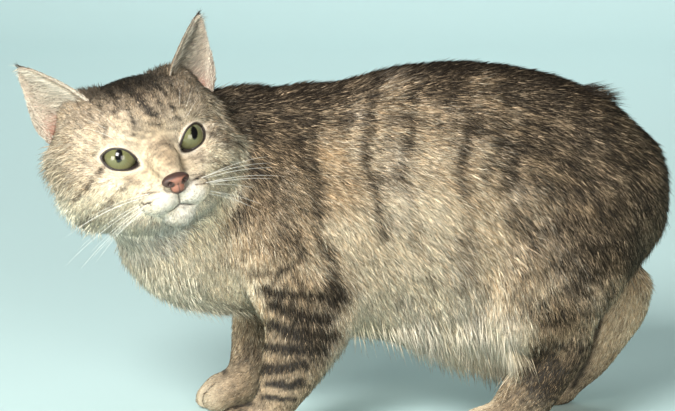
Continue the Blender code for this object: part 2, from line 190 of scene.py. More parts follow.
HEAD_LIE = (
    ((0, -26, -10), (0, 0.5, 1), 1.6, 12),
    ((0, -14, 2), (0, 0.4, 1), 2.2, 12),
    ((0, -8, 16), (0, 0.4, 1), 3.2, 14),
    ((0, 4, 36), (0, 0.8, 0.7), 4.5, 16),
    ((0, 30, 52), (0, 1, 0.1), 6, 18),
    ((0, 70, 45), (0, 1, -0.6), 9, 20),
    ((14, -10, 8), (0.35, 0.3, 1), 2.6, 12),
    ((24, -4, 16), (0.4, 0.4, 1), 3, 14),
    ((14, -12, -8), (0.7, 0.3, -0.4), 2.0, 12),
    ((24, -6, -14), (0.8, 0.4, -0.6), 3, 12),
    ((37, 4, 0), (0.7, 1, 0.1), 4, 14),
    ((40, 6, 18), (0.5, 0.8, 0.5), 4, 14),
    ((44, 10, -14), (0.7, 0.9, -0.5), 6, 16),
    ((56, 30, 8), (0.5, 1, -0.4), 7, 18),
    ((60, 30, -15), (0.4, 1, -0.7), 9, 22),
    ((50, 14, -36), (0.5, 0.8, -0.9), 9, 22),
    ((10, -26, -30), (1, 0.3, -0.4), 2.2, 12),
    ((22, -18, -30), (1, 0.6, -0.5), 3, 12),
    ((34, -4, -30), (0.8, 0.8, -0.7), 5, 16),
    ((6, -22, -46), (0.3, 0.4, -1), 3, 14),
    ((0, -16, -55), (0, 0.7, -1), 5, 18),
    ((24, 0, -52), (0.3, 0.8, -1), 8, 20),
    ((0, 10, -62), (0, 0.7, -0.9), 11, 24),
    ((35, 20, 36), (0.4, 0.7, 0.6), 5, 16),
)
LIE_REACH = 26 * MM  # how far a place above speaks for its surroundings
HEAD_REACH = 0.55  # share of that reach on the head
BATCH = 20000  # points worked out at a time


def lie_table():
    """Places, ways, lengths and lifts of the coat in the frame, on both sides of the cat."""
    rows = []
    for place, way, length, lift in BODY_LIE:
        for side in (1, -1) if place[1] else (1,):
            spot = np.array((place[0], side * place[1], place[2])) * MM + np.array(MIDDLE)
            rows.append((spot, (way[0], side * way[1], way[2]), length, lift, 1.0))
    turn = np.array(HEAD_TURN)
    for place, way, length, lift in HEAD_LIE:
        for side in (1, -1) if place[0] else (1,):
            spot = out_of_head(np.array([(side * place[0], place[1], place[2])]))[0]
            rows.append((spot, turn @ np.array((side * way[0], way[1], way[2])), length, lift, HEAD_REACH))
    places = np.array([row[0] for row in rows])
    ways = np.array([np.array(row[1]) / np.linalg.norm(row[1]) for row in rows])
    sizes = np.array([row[2:5] for row in rows])
    return places, ways, sizes


def lie_of_coat(points, normals):
    """The way the coat points along the skin, its length and its lift in radians, at each point."""
    places, ways, sizes = lie_table()
    way = np.zeros_like(points)
    size = np.zeros((len(points), 2))
    for start in range(0, len(points), BATCH):
        part = slice(start, start + BATCH)
        gaps = np.linalg.norm(points[part, None, :] - places[None], axis=2) / (LIE_REACH * sizes[:, 2])
        weight = 1 / (gaps**4 + 0.02)
        weight /= weight.sum(axis=1, keepdims=True)
        way[part] = weight @ ways
        size[part] = weight @ sizes[:, :2]
    way -= normals * (way * normals).sum(axis=1, keepdims=True)
    way /= np.maximum(np.linalg.norm(way, axis=1, keepdims=True), 1e-6)
    return way, size[:, 0] * MM, np.radians(size[:, 1])


# Markings, drawn on the cat's side as it stands in the photograph, in its pixels.
# A bar is its half width, its strength and the points of its line.
BODY_BARS = (
    (5, 0.8, (296, 84), (312, 118), (317, 160), (318, 200), (322, 236), (334, 276), (346, 312)),
    (4.5, 1.0, (317, 196), (319, 222), (325, 248), (332, 270), (337, 292)),
    (4, 0.5, (268, 98), (296, 128), (306, 168), (311, 205)),
    (3, 0.6, (246, 268), (268, 276), (290, 270), (306, 256)),
    (5, 0.65, (342, 74), (344, 108), (346, 140)),
    (5, 0.75, (374, 70), (370, 108), (370, 150), (376, 190), (384, 236)),
    (4, 0.75, (412, 66), (410, 116), (412, 146), (408, 184)),
    (5, 0.3, (412, 190), (420, 240), (436, 290)),
    (5, 0.75, (448, 62), (456, 96), (474, 126), (464, 170), (464, 200)),
    (4, 0.3, (468, 210), (474, 250), (464, 290)),
    (5, 0.75, (498, 64), (504, 110), (502, 150), (488, 178)),
    (5, 0.75, (536, 72), (534, 120), (520, 158), (502, 190)),
    (6, 0.8, (560, 92), (544, 122), (554, 150)),
    (6, 0.8, (586, 92), (582, 122), (592, 150)),
    (6, 0.7, (614, 110), (606, 140), (618, 170)),
    (6, 0.35, (530, 206), (570, 196), (610, 176), (640, 160)),
    (6, 0.45, (526, 240), (566, 230), (606, 214), (650, 196)),
    (6, 0.45, (524, 276), (560, 264), (604, 250), (640, 232)),
    (5, 0.5, (540, 306), (572, 290), (606, 268), (634, 252)),
    (4, 0.6, (548, 322), (574, 318), (600, 312)),
    (3, 1.0, (553, 345), (564, 346)),
)
LEG_BARS = (
    (3.6, 1.0, (251, 276), (272, 272), (292, 270), (308, 258)),
    (3.6, 1.0, (262, 289), (280, 294), (300, 298), (326, 300)),
    (4.2, 1.0, (272, 306), (284, 312), (300, 318), (330, 321)),
    (4.8, 1.0, (272, 326), (290, 334), (312, 338), (332, 336)),
    (4.4, 1.0, (266, 348), (286, 349), (306, 350), (322, 350)),
    (4.2, 1.0, (262, 370), (282, 371), (304, 366)),
    (3.2, 0.9, (266, 384), (288, 386), (302, 382)),
    (2.4, 0.7, (262, 398), (280, 400), (294, 398)),
    (3.0, 0.8, (234, 376), (246, 374), (258, 372)),
    (3.0, 0.8, (220, 398), (238, 393), (256, 390)),
    (3.0, 0.8, (210, 414), (230, 407), (250, 403)),
    (6.5, 0.75, (332, 284), (338, 308)),
)
SOLE_BAR = (3.5, 1.0, (616, 336), (608, 362), (598, 388), (584, 416))
# Tones of the body between the bars: a place, its reach, then the shares of dark, pale and warm
BODY_TONES = (
    # Round (243, 108) and (256, 170) the neck behind the head is dark fur with painted shadow of the head
    # over it
    (243, 108, 20, 0.95, 0.00, 0.10), (290, 86, 22, 0.85, 0.00, 0.20),
    (268, 150, 24, 0.62, 0.00, 0.30), (256, 170, 12, 0.90, 0.00, 0.10),
    (233, 196, 8, 0.05, 0.80, 0.45), (237, 172, 6, 0.15, 0.62, 0.45),
    (258, 206, 12, 0.60, 0.00, 0.25), (280, 235, 20, 0.40, 0.08, 0.45),
    (190, 245, 20, 0.00, 1.00, 0.75), (185, 290, 22, 0.00, 0.95, 0.70),
    (228, 292, 18, 0.02, 0.72, 0.80), (252, 262, 14, 0.12, 0.35, 0.60),
    (336, 292, 10, 0.80, 0.00, 0.20), (334, 180, 22, 0.30, 0.10, 0.70),
    (350, 78, 16, 0.65, 0.00, 0.20), (400, 112, 24, 0.40, 0.15, 0.35),
    (400, 160, 26, 0.12, 0.46, 0.45), (370, 250, 26, 0.02, 0.62, 0.48),
    (420, 235, 28, 0.00, 0.72, 0.45), (470, 178, 24, 0.22, 0.32, 0.50),
    (488, 250, 24, 0.12, 0.42, 0.42), (400, 315, 24, 0.00, 0.74, 0.38),
    (450, 325, 24, 0.00, 0.80, 0.30), (500, 340, 18, 0.02, 0.72, 0.30),
    (450, 64, 12, 0.95, 0.00, 0.10), (400, 66, 12, 0.85, 0.00, 0.10),
    (510, 70, 14, 0.95, 0.00, 0.10), (560, 88, 16, 0.90, 0.00, 0.10),
    (470, 110, 20, 0.50, 0.05, 0.35), (440, 84, 18, 0.80, 0.00, 0.20),
    (540, 150, 22, 0.60, 0.02, 0.30), (600, 145, 24, 0.72, 0.00, 0.25),
    (652, 180, 18, 0.85, 0.00, 0.15), (590, 225, 26, 0.68, 0.00, 0.25),
    (530, 225, 20, 0.42, 0.15, 0.35), (525, 290, 18, 0.22, 0.30, 0.45),
    (562, 322, 14, 0.42, 0.02, 0.50), (620, 240, 16, 0.65, 0.00, 0.30),
    (545, 372, 14, 0.92, 0.00, 1.00), (575, 360, 12, 0.72, 0.00, 0.60),
    (634, 348, 17, 0.14, 0.34, 1.00), (300, 300, 14, 0.40, 0.05, 0.45),
    (305, 345, 14, 0.72, 0.00, 0.35), (258, 330, 12, 0.40, 0.10, 0.55),
    # (235, 387) and (215, 412) on the far foreleg and paw are darkened partly for their own tan fur and
    # partly as painted shade
    (285, 395, 14, 0.48, 0.05, 0.55), (235, 387, 12, 0.60, 0.04, 0.65),
    (495, 400, 14, 0.72, 0.00, 1.00), (215, 412, 14, 0.60, 0.04, 0.70),
)
# On the head, in its own frame from the front, in millimetres
FACE_BARS = (
    (2.6, 0.85, (-4, 46), (-2.5, 37), (1.4, 23), (3.5, 16)),
    (2.2, 0.6, (6, 46), (9, 34), (11, 22)),
    (2.2, 0.7, (-14, 46), (-15, 38), (-20, 31)),
    (2.0, 0.6, (-10, 34), (-12.5, 23), (-14.3, 13)),
    (2.0, 0.7, (14, 42), (16, 30), (17, 22), (20, 12)),
    (1.8, 0.4, (26, 38), (27, 26), (29, 16)),
    (1.8, 0.4, (-27, 36), (-28, 26), (-30, 16)),
)
CHEEK_BARS = (  # on both sides
    (1.7, 0.75, (37, -2), (46, -7), (60, -19)),
    (2.4, 0.5, (26, -16), (42, -26), (58, -36)),
    (0.7, 0.9, (13, -26), (24, -25)),
    (0.7, 0.9, (13, -30), (23, -31)),
)
FACE_TONES = (
    (0, 50, 12, 1.00, 0.00, 0.20), (0, 39, 7, 0.72, 0.00, 0.25), (12, 38, 6, 0.55, 0.08, 0.25),
    (27, 48, 10, 0.45, 0.20, 0.30), (0, 30, 8, 0.55, 0.12, 0.30), (18, 30, 9, 0.32, 0.22, 0.30),
    (34, 30, 9, 0.30, 0.28, 0.30), (24, 15, 6, 0.24, 0.32, 0.30), (0, 9, 6, 0.42, 0.14, 0.60),
    (0, -8, 5, 0.42, 0.05, 1.00), (10, -13, 5, 0.32, 0.16, 0.80), (22, -16, 6, 0.28, 0.26, 0.50),
    (31, -26, 8, 0.02, 0.66, 0.75), (10, -33, 7, 0.00, 0.86, 0.00), (20, -28, 6, 0.06, 0.64, 0.40),
    (0, -48, 10, 0.00, 0.92, 0.00), (40, -16, 8, 0.08, 0.74, 0.60), (34, -42, 12, 0.00, 0.96, 0.60),
    (44, 6, 10, 0.24, 0.42, 0.45), (58, -6, 10, 0.24, 0.42, 0.55), (52, 22, 10, 0.24, 0.42, 0.45),
    (58, -28, 13, 0.00, 0.94, 0.80),
)


def toned(places, tones):
    """Shares of dark, pale and warm at each place of a plane, blended from the named tones."""
    table = np.array(tones, float)
    gaps = np.linalg.norm(places[:, None, :] - table[None, :, :2], axis=2) / table[:, 2]
    weights = 1 / (gaps**2 + 0.3) ** 2
    return weights @ table[:, 3:] / weights.sum(axis=1, keepdims=True)


def line_gap(places, line):
    """Distance from each place of a plane to a line through some points."""
    nearest = np.full(len(places), FAR)
    for first, second in zip(line, line[1:]):
        start = np.array(first, float)
        run = np.array(second, float) - start
        share = np.clip((places - start) @ run / (run @ run), 0, 1)
        gap = np.linalg.norm(places - start - share[:, None] * run, axis=1)
        nearest = np.minimum(nearest, gap)
    return nearest


def bar_strength(places, bars):
    """How strongly the nearest bars darken each place of a plane."""
    strength = np.zeros(len(places))
    for half, dark, *line in bars:
        strength = np.maximum(strength, dark * np.exp(-((line_gap(places, line) / half) ** 2)))
    return strength


def step(value, start, end):
    """A smooth step from 0 at start to 1 at end."""
    share = np.clip((value - start) / (end - start), 0, 1)
    return share * share * (3 - 2 * share)


def grain(points, size, seed=0):
    """Smooth seeded noise from -1 to 1, by a few slanted waves of about the given size."""
    rng = np.random.default_rng(seed)
    total = np.zeros(len(points))
    for octave in range(3):
        for _ in range(5):
            way = rng.normal(size=3)
            way /= np.linalg.norm(way)
            turn = 2 * pi / (size * rng.uniform(0.6, 1.4) / 1.8**octave)
            total += np.sin(points @ way * turn + rng.uniform(0, 2 * pi)) / 1.5**octave
    return np.clip(total / 4.2, -1, 1)


MARKS = ("dark", "pale", "warm", "black")


def markings(points, on_head):
    """Shares of dark bars, pale fur, warm tan and black at each point, for skin and coat alike; the dark
    share also holds painted shade between the toes and, through some tones, on the neck behind the head and
    on the far foreleg.
    """
    x, y, z = in_design(points).T
    wander = np.stack([grain(points, 0.035, 1), grain(points, 0.035, 2)], axis=1)
    pixels = photo_pixels(points)
    front = step(-x, -14, 2) * step(z, 128, 112)  # the forelegs
    body_bars = bar_strength(pixels + wander * 5, BODY_BARS)
    body_bars *= (0.95 + 0.45 * grain(points, 0.022, 3)) * (1 - front)
    leg_bars = bar_strength(pixels + wander * 2, LEG_BARS) * front * step(y, 24, 40)
    tones = toned(pixels + wander * 6, BODY_TONES)
    ticked = 0.34 * grain(points, 0.009, 4) + 0.14 * grain(points, 0.03, 11)
    ticked *= 1 - 0.6 * step(z, 105, 75)
    under = step(z, 88, 62) * step(x, -30, 0) * step(-x, -125, -95) * step(y, 66, 48)
    chest = step(-x, 70, 105) * step(z, 165, 125)
    light = np.clip(under + 0.6 * chest, 0, 1)  # the pale underside and chest
    bars = np.clip(body_bars + leg_bars, 0, 1)
    between = np.clip(1.4 * (tones[:, 0] + ticked) - 0.15, 0, 1)
    # the toe_gap term paints shade into the grooves between the toes
    dark = between * (1 - light) + bars * (1 - 0.6 * light) + 0.5 * toe_gap(points)
    pale = np.clip(tones[:, 1] * (1 - light) + (0.58 + 0.25 * chest) * light, 0, 1) * (1 - 0.7 * bars)
    warm = tones[:, 2] + 0.25 * grain(points, 0.05, 5)
    spine = step(z, 240, 262) * step(y, 24, 4)
    sole = bar_strength(pixels, (SOLE_BAR,)) * step(z, 100, 90)
    black = 0.75 * spine + sole + 0.6 * leg_bars
    body = np.clip(np.stack([dark, pale, warm, black], axis=1), 0, 1)
    return body * (1 - on_head[:, None]) + face_markings(points) * on_head[:, None]


def face_markings(points):
    """The same shares on the head, set in the head's own frame."""
    head = in_head(points)
    left, y, z = head.T
    x = np.abs(left)
    flat = head[:, [0, 2]]
    flat = flat + 1.2 * np.stack([grain(points, 0.02, 6), grain(points, 0.02, 7)], axis=1)
    folded = np.abs(flat) * (1, 0) + flat * (0, 1)
    bars = np.maximum(bar_strength(flat, FACE_BARS), bar_strength(folded, CHEEK_BARS))
    bars *= (0.75 + 0.5 * grain(points, 0.010, 8)) * step(y, 66, 40)
    tones = toned(folded, FACE_TONES)
    # The turned head bares the neck's dark fur behind the cheek on its left, and painted shadow of the head
    # falls over it
    dark_fur_and_shadow_behind_cheek = step(y, 14, 26) * step(left, 53, 61)
    nape = step(y, 43, 60) * (0.45 + 0.55 * step(left, 38, 52)) * (1 + 0.5 * grain(points, 0.012, 13))
    nape = np.maximum(nape, dark_fur_and_shadow_behind_cheek) * step(z, -46, -20)
    crown = step(z, 34, 44) * step(x, 38, 22) * step(y, 64, 40)
    ticked = 0.22 * grain(points, 0.005, 9) + 0.18 * grain(points, 0.013, 12)
    ring = step(nearest_opening(points, y < 20), 1.65, 1.2)
    # nape here holds the painted shadow behind the cheek as well as the dark fur
    dark = tones[:, 0] * (1 - ring) + ticked * (1 - 0.8 * ring) + bars + 0.75 * nape
    pale = np.clip(np.maximum(tones[:, 1], ring * 0.60), 0, 1)
    pale *= (1 - 0.8 * np.clip(bars, 0, 1)) * (1 - 0.8 * nape)
    warm = 0.6 * tones[:, 2] * (1 - 0.6 * ring) + 0.15 * grain(points, 0.02, 10)
    return np.clip(np.stack([dark, pale, warm, 0.3 * nape + 0.8 * crown], axis=1), 0, 1)


def tint(name, description, colour):
    """A colour that a user may change, as light leaves the surface."""
    return FloatVectorProperty(
        name=name, description=description, default=colour, size=3, subtype="COLOR", min=0, max=1
    )


class CatColours(bpy.types.PropertyGroup):
    ground_root: tint("Undercoat", "Grey brown at the roots of the ticked fur", (0.17, 0.115, 0.075))
    ground_band: tint("Ticked band", "Pale band of the ticked hairs", (0.60, 0.465, 0.31))
    ground_tip: tint("Ticked tips", "Dark tips of the ticked hairs", (0.14, 0.10, 0.065))
    bar: tint("Bars", "Dark brown of the tabby bars", (0.030, 0.024, 0.018))
    pale: tint("Pale fur", "Cream of the belly, cheeks and eye rings", (0.87, 0.79, 0.60))
    warm: tint("Tan", "Warm tan of the legs and flank", (0.50, 0.32, 0.15))
    white: tint("White fur", "White of the muzzle and chin", (0.70, 0.66, 0.58))
    iris: tint("Iris", "Green of the eyes", (0.155, 0.156, 0.070))
    nose: tint("Nose", "Brick pink of the nose leather", (0.36, 0.155, 0.10))
    ear: tint("Ear skin", "Pinkish skin inside the ears", (0.58, 0.47, 0.38))
    room: tint("Room", "Pale tint of the floor and the wall behind", (0.60, 0.80, 0.80))


class CatSizes(bpy.types.PropertyGroup):
    voxel: FloatProperty(
        name="Skin detail", description="Size of the skin's mesh", default=1.7 * MM, unit="LENGTH"
    )
    coat_share: FloatProperty(
        name="Coat", description="Share of the full number of tufts", default=1.0, min=0.02, max=1.5
    )
    seed: IntProperty(name="Seed", description="Seed of the coat's random choices", default=7, min=0)


def sizes():
    return bpy.context.scene.cat_sizes


def colours():
    return bpy.context.scene.cat_colours


def mesh_of(name, verts, faces):
    """A mesh from arrays of points and of triangles or quads."""
    mesh = bpy.data.meshes.new(name)
    sides = faces.shape[1]
    mesh.vertices.add(len(verts))
    mesh.vertices.foreach_set("co", np.asarray(verts, np.float32).ravel())
    mesh.loops.add(faces.size)
    mesh.loops.foreach_set("vertex_index", faces.astype(np.int32).ravel())
    mesh.polygons.add(len(faces))
    mesh.polygons.foreach_set("loop_start", np.arange(0, faces.size, sides, dtype=np.int32))
    mesh.update(calc_edges=True)
    return mesh


def placed(name, data):
    """An object of the scene from a mesh, light or camera."""
    made = bpy.data.objects.new(name, data)
    bpy.context.scene.collection.objects.link(made)
    return made


def piece(name, mesh, material, replaces=()):
    """Adds a finished piece to the cat: its material and what it stands for."""
    mesh.materials.clear()
    mesh.materials.append(material)
    made = placed(name, mesh)
    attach(made, "root")
    if replaces:
        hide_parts(*replaces)


def fetched(items, field, width=1, kind=np.float32):
    """One field of all the corners, edges or faces of a mesh, with a row to each."""
    flat = np.empty(len(items) * width, kind)
    items.foreach_get(field, flat)
    return flat.reshape(-1, width) if width > 1 else flat


def points_of(mesh):
    return fetched(mesh.vertices, "co", 3).astype(float)


def normals_of(mesh):
    return fetched(mesh.vertices, "normal", 3).astype(float)


def set_points(mesh, points):
    mesh.vertices.foreach_set("co", points.astype(np.float32).ravel())
    mesh.update()


def put_values(mesh, **values):
    """Stores one number per point of the mesh under each name, for the materials to read."""
    for name, numbers in values.items():
        layer = mesh.attributes.new(name, "FLOAT", "POINT")
        layer.data.foreach_set("value", np.full(len(mesh.vertices), numbers, np.float32))


def stored(mesh, name):
    return fetched(mesh.attributes[name].data, "value").astype(float)


def neighbour_mean(mesh):
    """A function that gives the mean of a value over each point's neighbours."""
    a, b = fetched(mesh.edges, "vertices", 2, np.int32).T
    number = len(mesh.vertices)
    count = np.maximum(np.bincount(np.concatenate([a, b]), minlength=number), 1)
    return lambda values: (np.bincount(a, values[b], number) + np.bincount(b, values[a], number)) / count


def softened(mesh, rounds, share):
    """Moves each point towards the mean of its neighbours, by its own share, for some rounds."""
    points, mean = points_of(mesh), neighbour_mean(mesh)
    for _ in range(rounds):
        centre = np.stack([mean(points[:, axis]) for axis in range(3)], axis=1)
        points += (centre - points) * np.reshape(share, (-1, 1))
    set_points(mesh, points)


def spread(mesh, values, rounds):
    """Blurs a value of the mesh's points along its edges."""
    mean = neighbour_mean(mesh)
    for _ in range(rounds):
        values = (values + mean(values)) / 2
    return values


def in_fixed_order(bm):
    """Sorts the faces by their three lowest corners, so the mesh is the same each run."""
    bm.verts.index_update()
    count = len(bm.verts)

    def number(face):
        first, second, third = sorted(vert.index for vert in face.verts)[:3]
        return (first * count + second) * count + third

    bm.faces.sort(key=number)


def reworked(mesh, *works):
    """Opens a mesh for cutting and joining, hands it to some functions in turn and writes it back."""
    bm = bmesh.new()
    bm.from_mesh(mesh)
    for work in works:
        work(bm)
    in_fixed_order(bm)
    bm.to_mesh(mesh)
    bm.free()


def merged(bm):
    """Joins corners that share a place and turns all faces outward."""
    bmesh.ops.remove_doubles(bm, verts=bm.verts, dist=1e-6)
    bmesh.ops.recalc_face_normals(bm, faces=bm.faces)


def gathered(names, grow):
    """One mesh of the named solids, each grown a little so that neighbours overlap."""
    bm = bmesh.new()
    for name in names:
        part = bmesh.new()
        part.from_mesh(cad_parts[name].data)
        merged(part)
        part.normal_update()
        for vert in part.verts:
            vert.co += vert.normal * grow
        spare = bpy.data.meshes.new("spare")
        part.to_mesh(spare)
        part.free()
        bm.from_mesh(spare)
        bpy.data.meshes.remove(spare)
    mesh = bpy.data.meshes.new("gathered")
    bm.to_mesh(mesh)
    bm.free()
    return mesh


def wrapped(mesh, voxel):
    """One closed surface round a mesh of overlapping solids."""
    thing = placed("wrap", mesh)
    wrap = thing.modifiers.new("Wrap", "REMESH")
    wrap.mode = "VOXEL"
    wrap.voxel_size = voxel
    graph = bpy.context.evaluated_depsgraph_get()
    made = bpy.data.meshes.new_from_object(thing.evaluated_get(graph))
    bpy.data.objects.remove(thing)
    return made


def only_largest(bm):
    """Deletes all but the largest connected surface."""
    unseen = set(bm.verts)
    shells = []
    while unseen:
        shell = [unseen.pop()]
        for vert in shell:
            beside = {edge.other_vert(vert) for edge in vert.link_edges} & unseen
            unseen -= beside
            shell += beside
        shells.append(shell)
    shells.sort(key=len)
    bmesh.ops.delete(bm, geom=[vert for shell in shells[:-1] for vert in shell], context="VERTS")


def near_head(points):
    """1 on and round the head, 0 further off; it guards the face from being smoothed away."""
    reach = np.linalg.norm((in_head(points) - (0, 28, 4)) / (76, 62, 72), axis=1)
    return step(reach, 1.18, 1.0)


def coat_depth(points):
    """How far the skin lies under the tips of the coat."""
    _, length, lift = lie_of_coat(points, np.tile((0.0, 0.0, 1.0), (len(points), 1)))
    return 0.85 * length * np.sin(lift) + 0.35 * MM


def eye_frame(side):
    """An eyeball's frame: its -y looks out between the lids."""
    turn = Euler((0, radians(-side * EYE_SLANT), radians(side * EYE_TOE_OUT))).to_matrix()
    place = Matrix.Translation(eye_middle(side)) @ (HEAD_TURN @ turn).to_4x4()
    return place @ Matrix.Translation((0, EYE_SET_BACK, 0))


def in_eye(points, side):
    inverse = np.array(eye_frame(side).inverted())
    return points @ inverse[:3, :3].T + inverse[:3, 3]


def out_of_eye(points, side):
    matrix = np.array(eye_frame(side))
    return points @ matrix[:3, :3].T + matrix[:3, 3]


def opening_share(local, side):
    """Below 1 inside the almond between the lids, 1 on its rim; in an eye's own frame."""
    outward = local[:, 0] * side
    inner = outward < 0
    x = outward / np.where(inner, OPENING_INNER, OPENING_OUTER)
    z = local[:, 2] + np.where(inner, CANTHUS_DIP * np.clip(x, -1.6, 0) ** 2, 0)
    z = z / OPENING_HEIGHT
    t = np.linspace(0, pi / 2, 60)
    rim_x, rim_z = np.cos(t), np.sin(t) * (1 - 0.45 * np.cos(t) ** 4)
    rim = np.interp(np.arctan2(np.abs(z), np.abs(x)), np.arctan2(rim_z, rim_x), np.hypot(rim_x, rim_z))
    return np.hypot(x, z) / rim


def nearest_opening(points, counted=True):
    """The share of the nearer eye's opening at each point, and far off where points aren't counted."""
    shares = [opening_share(in_eye(points, side), side) for side in (-1, 1)]
    return np.where(counted, np.minimum(*shares), FAR)


# The cleft and one half of the line of the lips, across and up in the head's frame
MOUTH_LINES = (((0, -27), (0, -33), (0, -38.5)), ((0, -38.5), (5, -40.6), (9, -41.8), (13, -42.0)))


def mouth_gap(head):
    """Distance in millimetres from the cleft and the line of the lips, seen from the front."""
    flat = np.stack([np.abs(head[:, 0]), head[:, 2]], axis=1)
    gap = np.minimum(*(line_gap(flat, line) for line in MOUTH_LINES))
    return np.where(head[:, 1] < 0, gap, FAR)


# Places in the head's frame round which the skin is made finer, for the lids and the mouth
FINE_PLACES = ((22, -2, 0), (-22, -2, 0), (0, -20, -30), (12, -14, -42), (-12, -14, -42))
FACE_DEPTH = 14  # how far back from the face, in millimetres


def refined(bm, radius):
    """Splits the faces within a radius of the fine places."""
    inverse = HEAD.inverted()
    edges = {}  # keeps its order, so the mesh comes out the same each time
    for face in bm.faces:
        local = inverse @ face.calc_center_median() / MM
        if local.y < FACE_DEPTH and any((local - Vector(p)).length < radius for p in FINE_PLACES):
            edges.update(dict.fromkeys(face.edges))
    bmesh.ops.subdivide_edges(bm, edges=list(edges), cuts=1, use_grid_fill=True)
    bmesh.ops.triangulate(bm, faces=[face for face in bm.faces if len(face.verts) > 4])


# How far the lids and their rims stand over the eyeball, and how deep the turned-in edge ends in it
LID_OVER_BALL, RIM_OVER_BALL, RIM_TURNED_IN = 1.15 * MM, 0.9 * MM, 0.8 * MM
NOSE_HALF = (8.8, 5.9)  # half sizes of the skin under the nose leather, in millimetres
NOSE_UP, NOSE_PRESSED = -25, 3  # its height in the head's frame, and how deep it is pressed in


def shaped_lids(mesh):
    """Rounds the lids over the eyeballs and presses in the mouth and the skin under the nose."""
    points = points_of(mesh)
    for side in (-1, 1):
        local = in_eye(points, side)
        away = np.linalg.norm(local, axis=1)
        share = opening_share(local, side)
        over = (local[:, 1] < 0) & (away < EYE_RADIUS * 1.7)
        reach = step(share, np.where(local[:, 0] * side < 0, 1.5, 1.9), 1.15) * over
        wanted = local / np.maximum(away, 1e-9)[:, None] * (EYE_RADIUS + LID_OVER_BALL)
        local += (wanted - local) * reach[:, None]
        points = np.where(over[:, None], out_of_eye(local, side), points)
    head = in_head(points)
    gap = mouth_gap(head)
    wide, high = NOSE_HALF
    under_nose = step(np.hypot(head[:, 0] / wide, (head[:, 2] - NOSE_UP) / high), 1.1, 0.75)
    under_nose *= head[:, 1] < -15
    changed = (gap < 6) | (under_nose > 0)
    line = 0.8 * np.exp(-((gap / 0.8) ** 2)) + 0.4 * np.exp(-((gap / 2.6) ** 2))
    head[:, 1] += line * step(np.abs(head[:, 0]), 13, 7) + NOSE_PRESSED * under_nose
    points = np.where(changed[:, None], out_of_head(head), points)
    set_points(mesh, points)


def moved_in_eye(verts, side, change):
    """Moves some corners by a function of their places in an eye's own frame."""
    local = in_eye(np.array([vert.co for vert in verts]), side)
    for vert, place in zip(verts, out_of_eye(change(local), side)):
        vert.co = place


def open_lids(bm):
    """Cuts the openings of the eyes and turns the lids' edges in towards the eyeballs."""
    for side in (-1, 1):

        def to_rim(local):
            local[:, [0, 2]] /= opening_share(local, side)[:, None]
            flat = np.hypot(local[:, 0], local[:, 2])
            local[:, 1] = -np.sqrt(np.maximum((EYE_RADIUS + RIM_OVER_BALL) ** 2 - flat**2, 1e-8))
            return local

        def turned_in(local):
            return local * ((EYE_RADIUS - RIM_TURNED_IN) / np.linalg.norm(local, axis=1)[:, None])

        local = in_eye(np.array([face.calc_center_median() for face in bm.faces]), side)
        close = np.linalg.norm(local, axis=1) < EYE_RADIUS * 1.4
        inside = (opening_share(local, side) < 1) & (local[:, 1] < 0) & close
        bm.faces.ensure_lookup_table()
        bmesh.ops.delete(bm, geom=[bm.faces[i] for i in np.flatnonzero(inside)], context="FACES")
        rim = [edge for edge in bm.edges if edge.is_boundary]
        verts = dict.fromkeys(vert for edge in rim for vert in edge.verts)
        near = [vert for vert in verts if (vert.co - eye_middle(side)).length < EYE_RADIUS * 1.5]
        moved_in_eye(near, side, to_rim)
        edges = [edge for edge in rim if all(vert in near for vert in edge.verts)]
        made = bmesh.ops.extrude_edge_only(bm, edges=edges)["geom"]
        moved_in_eye([item for item in made if isinstance(item, bmesh.types.BMVert)], side, turned_in)
    bmesh.ops.recalc_face_normals(bm, faces=bm.faces)


def tree_of(name):
    """One solid, ready to be asked for its nearest place."""
    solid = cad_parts[name].data
    return BVHTree.FromPolygons([v.co for v in solid.vertices], [tuple(f.vertices) for f in solid.polygons])


NEAR_BOX = 20 * MM  # points further than this from a solid's box aren't its own


def region_of(points):
    """Index in FLESH of the solid nearest to each point."""
    best = np.full(len(points), FAR)
    index = np.zeros(len(points), int)
    for i, name in enumerate(FLESH):
        low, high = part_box(name)
        tree = tree_of(name)
        near = np.all((points > np.array(low) - NEAR_BOX) & (points < np.array(high) + NEAR_BOX), axis=1)
        for k in np.flatnonzero(near):
            gap = tree.find_nearest(Vector(points[k]))[3]
            if gap < best[k]:
                best[k], index[k] = gap, i
    return index


MAP_EDGE, MAP_GAP = 0.004, 0.006  # bare border of the map and room between its charts


def rows_of_charts(boxes, scale):
    """Where each chart stands on the map when they are laid in rows, or None if they don't fit."""
    placed, x, y, row = {}, MAP_EDGE, MAP_EDGE, 0.0
    for chart, size in boxes:
        wide, high = size * scale + MAP_GAP
        if x + wide > 1 - MAP_EDGE:
            x, y, row = MAP_EDGE, y + row, 0.0
        placed[chart] = (x, y)
        x += wide
        row = max(row, high)
    return placed if y + row < 1 - MAP_EDGE else None


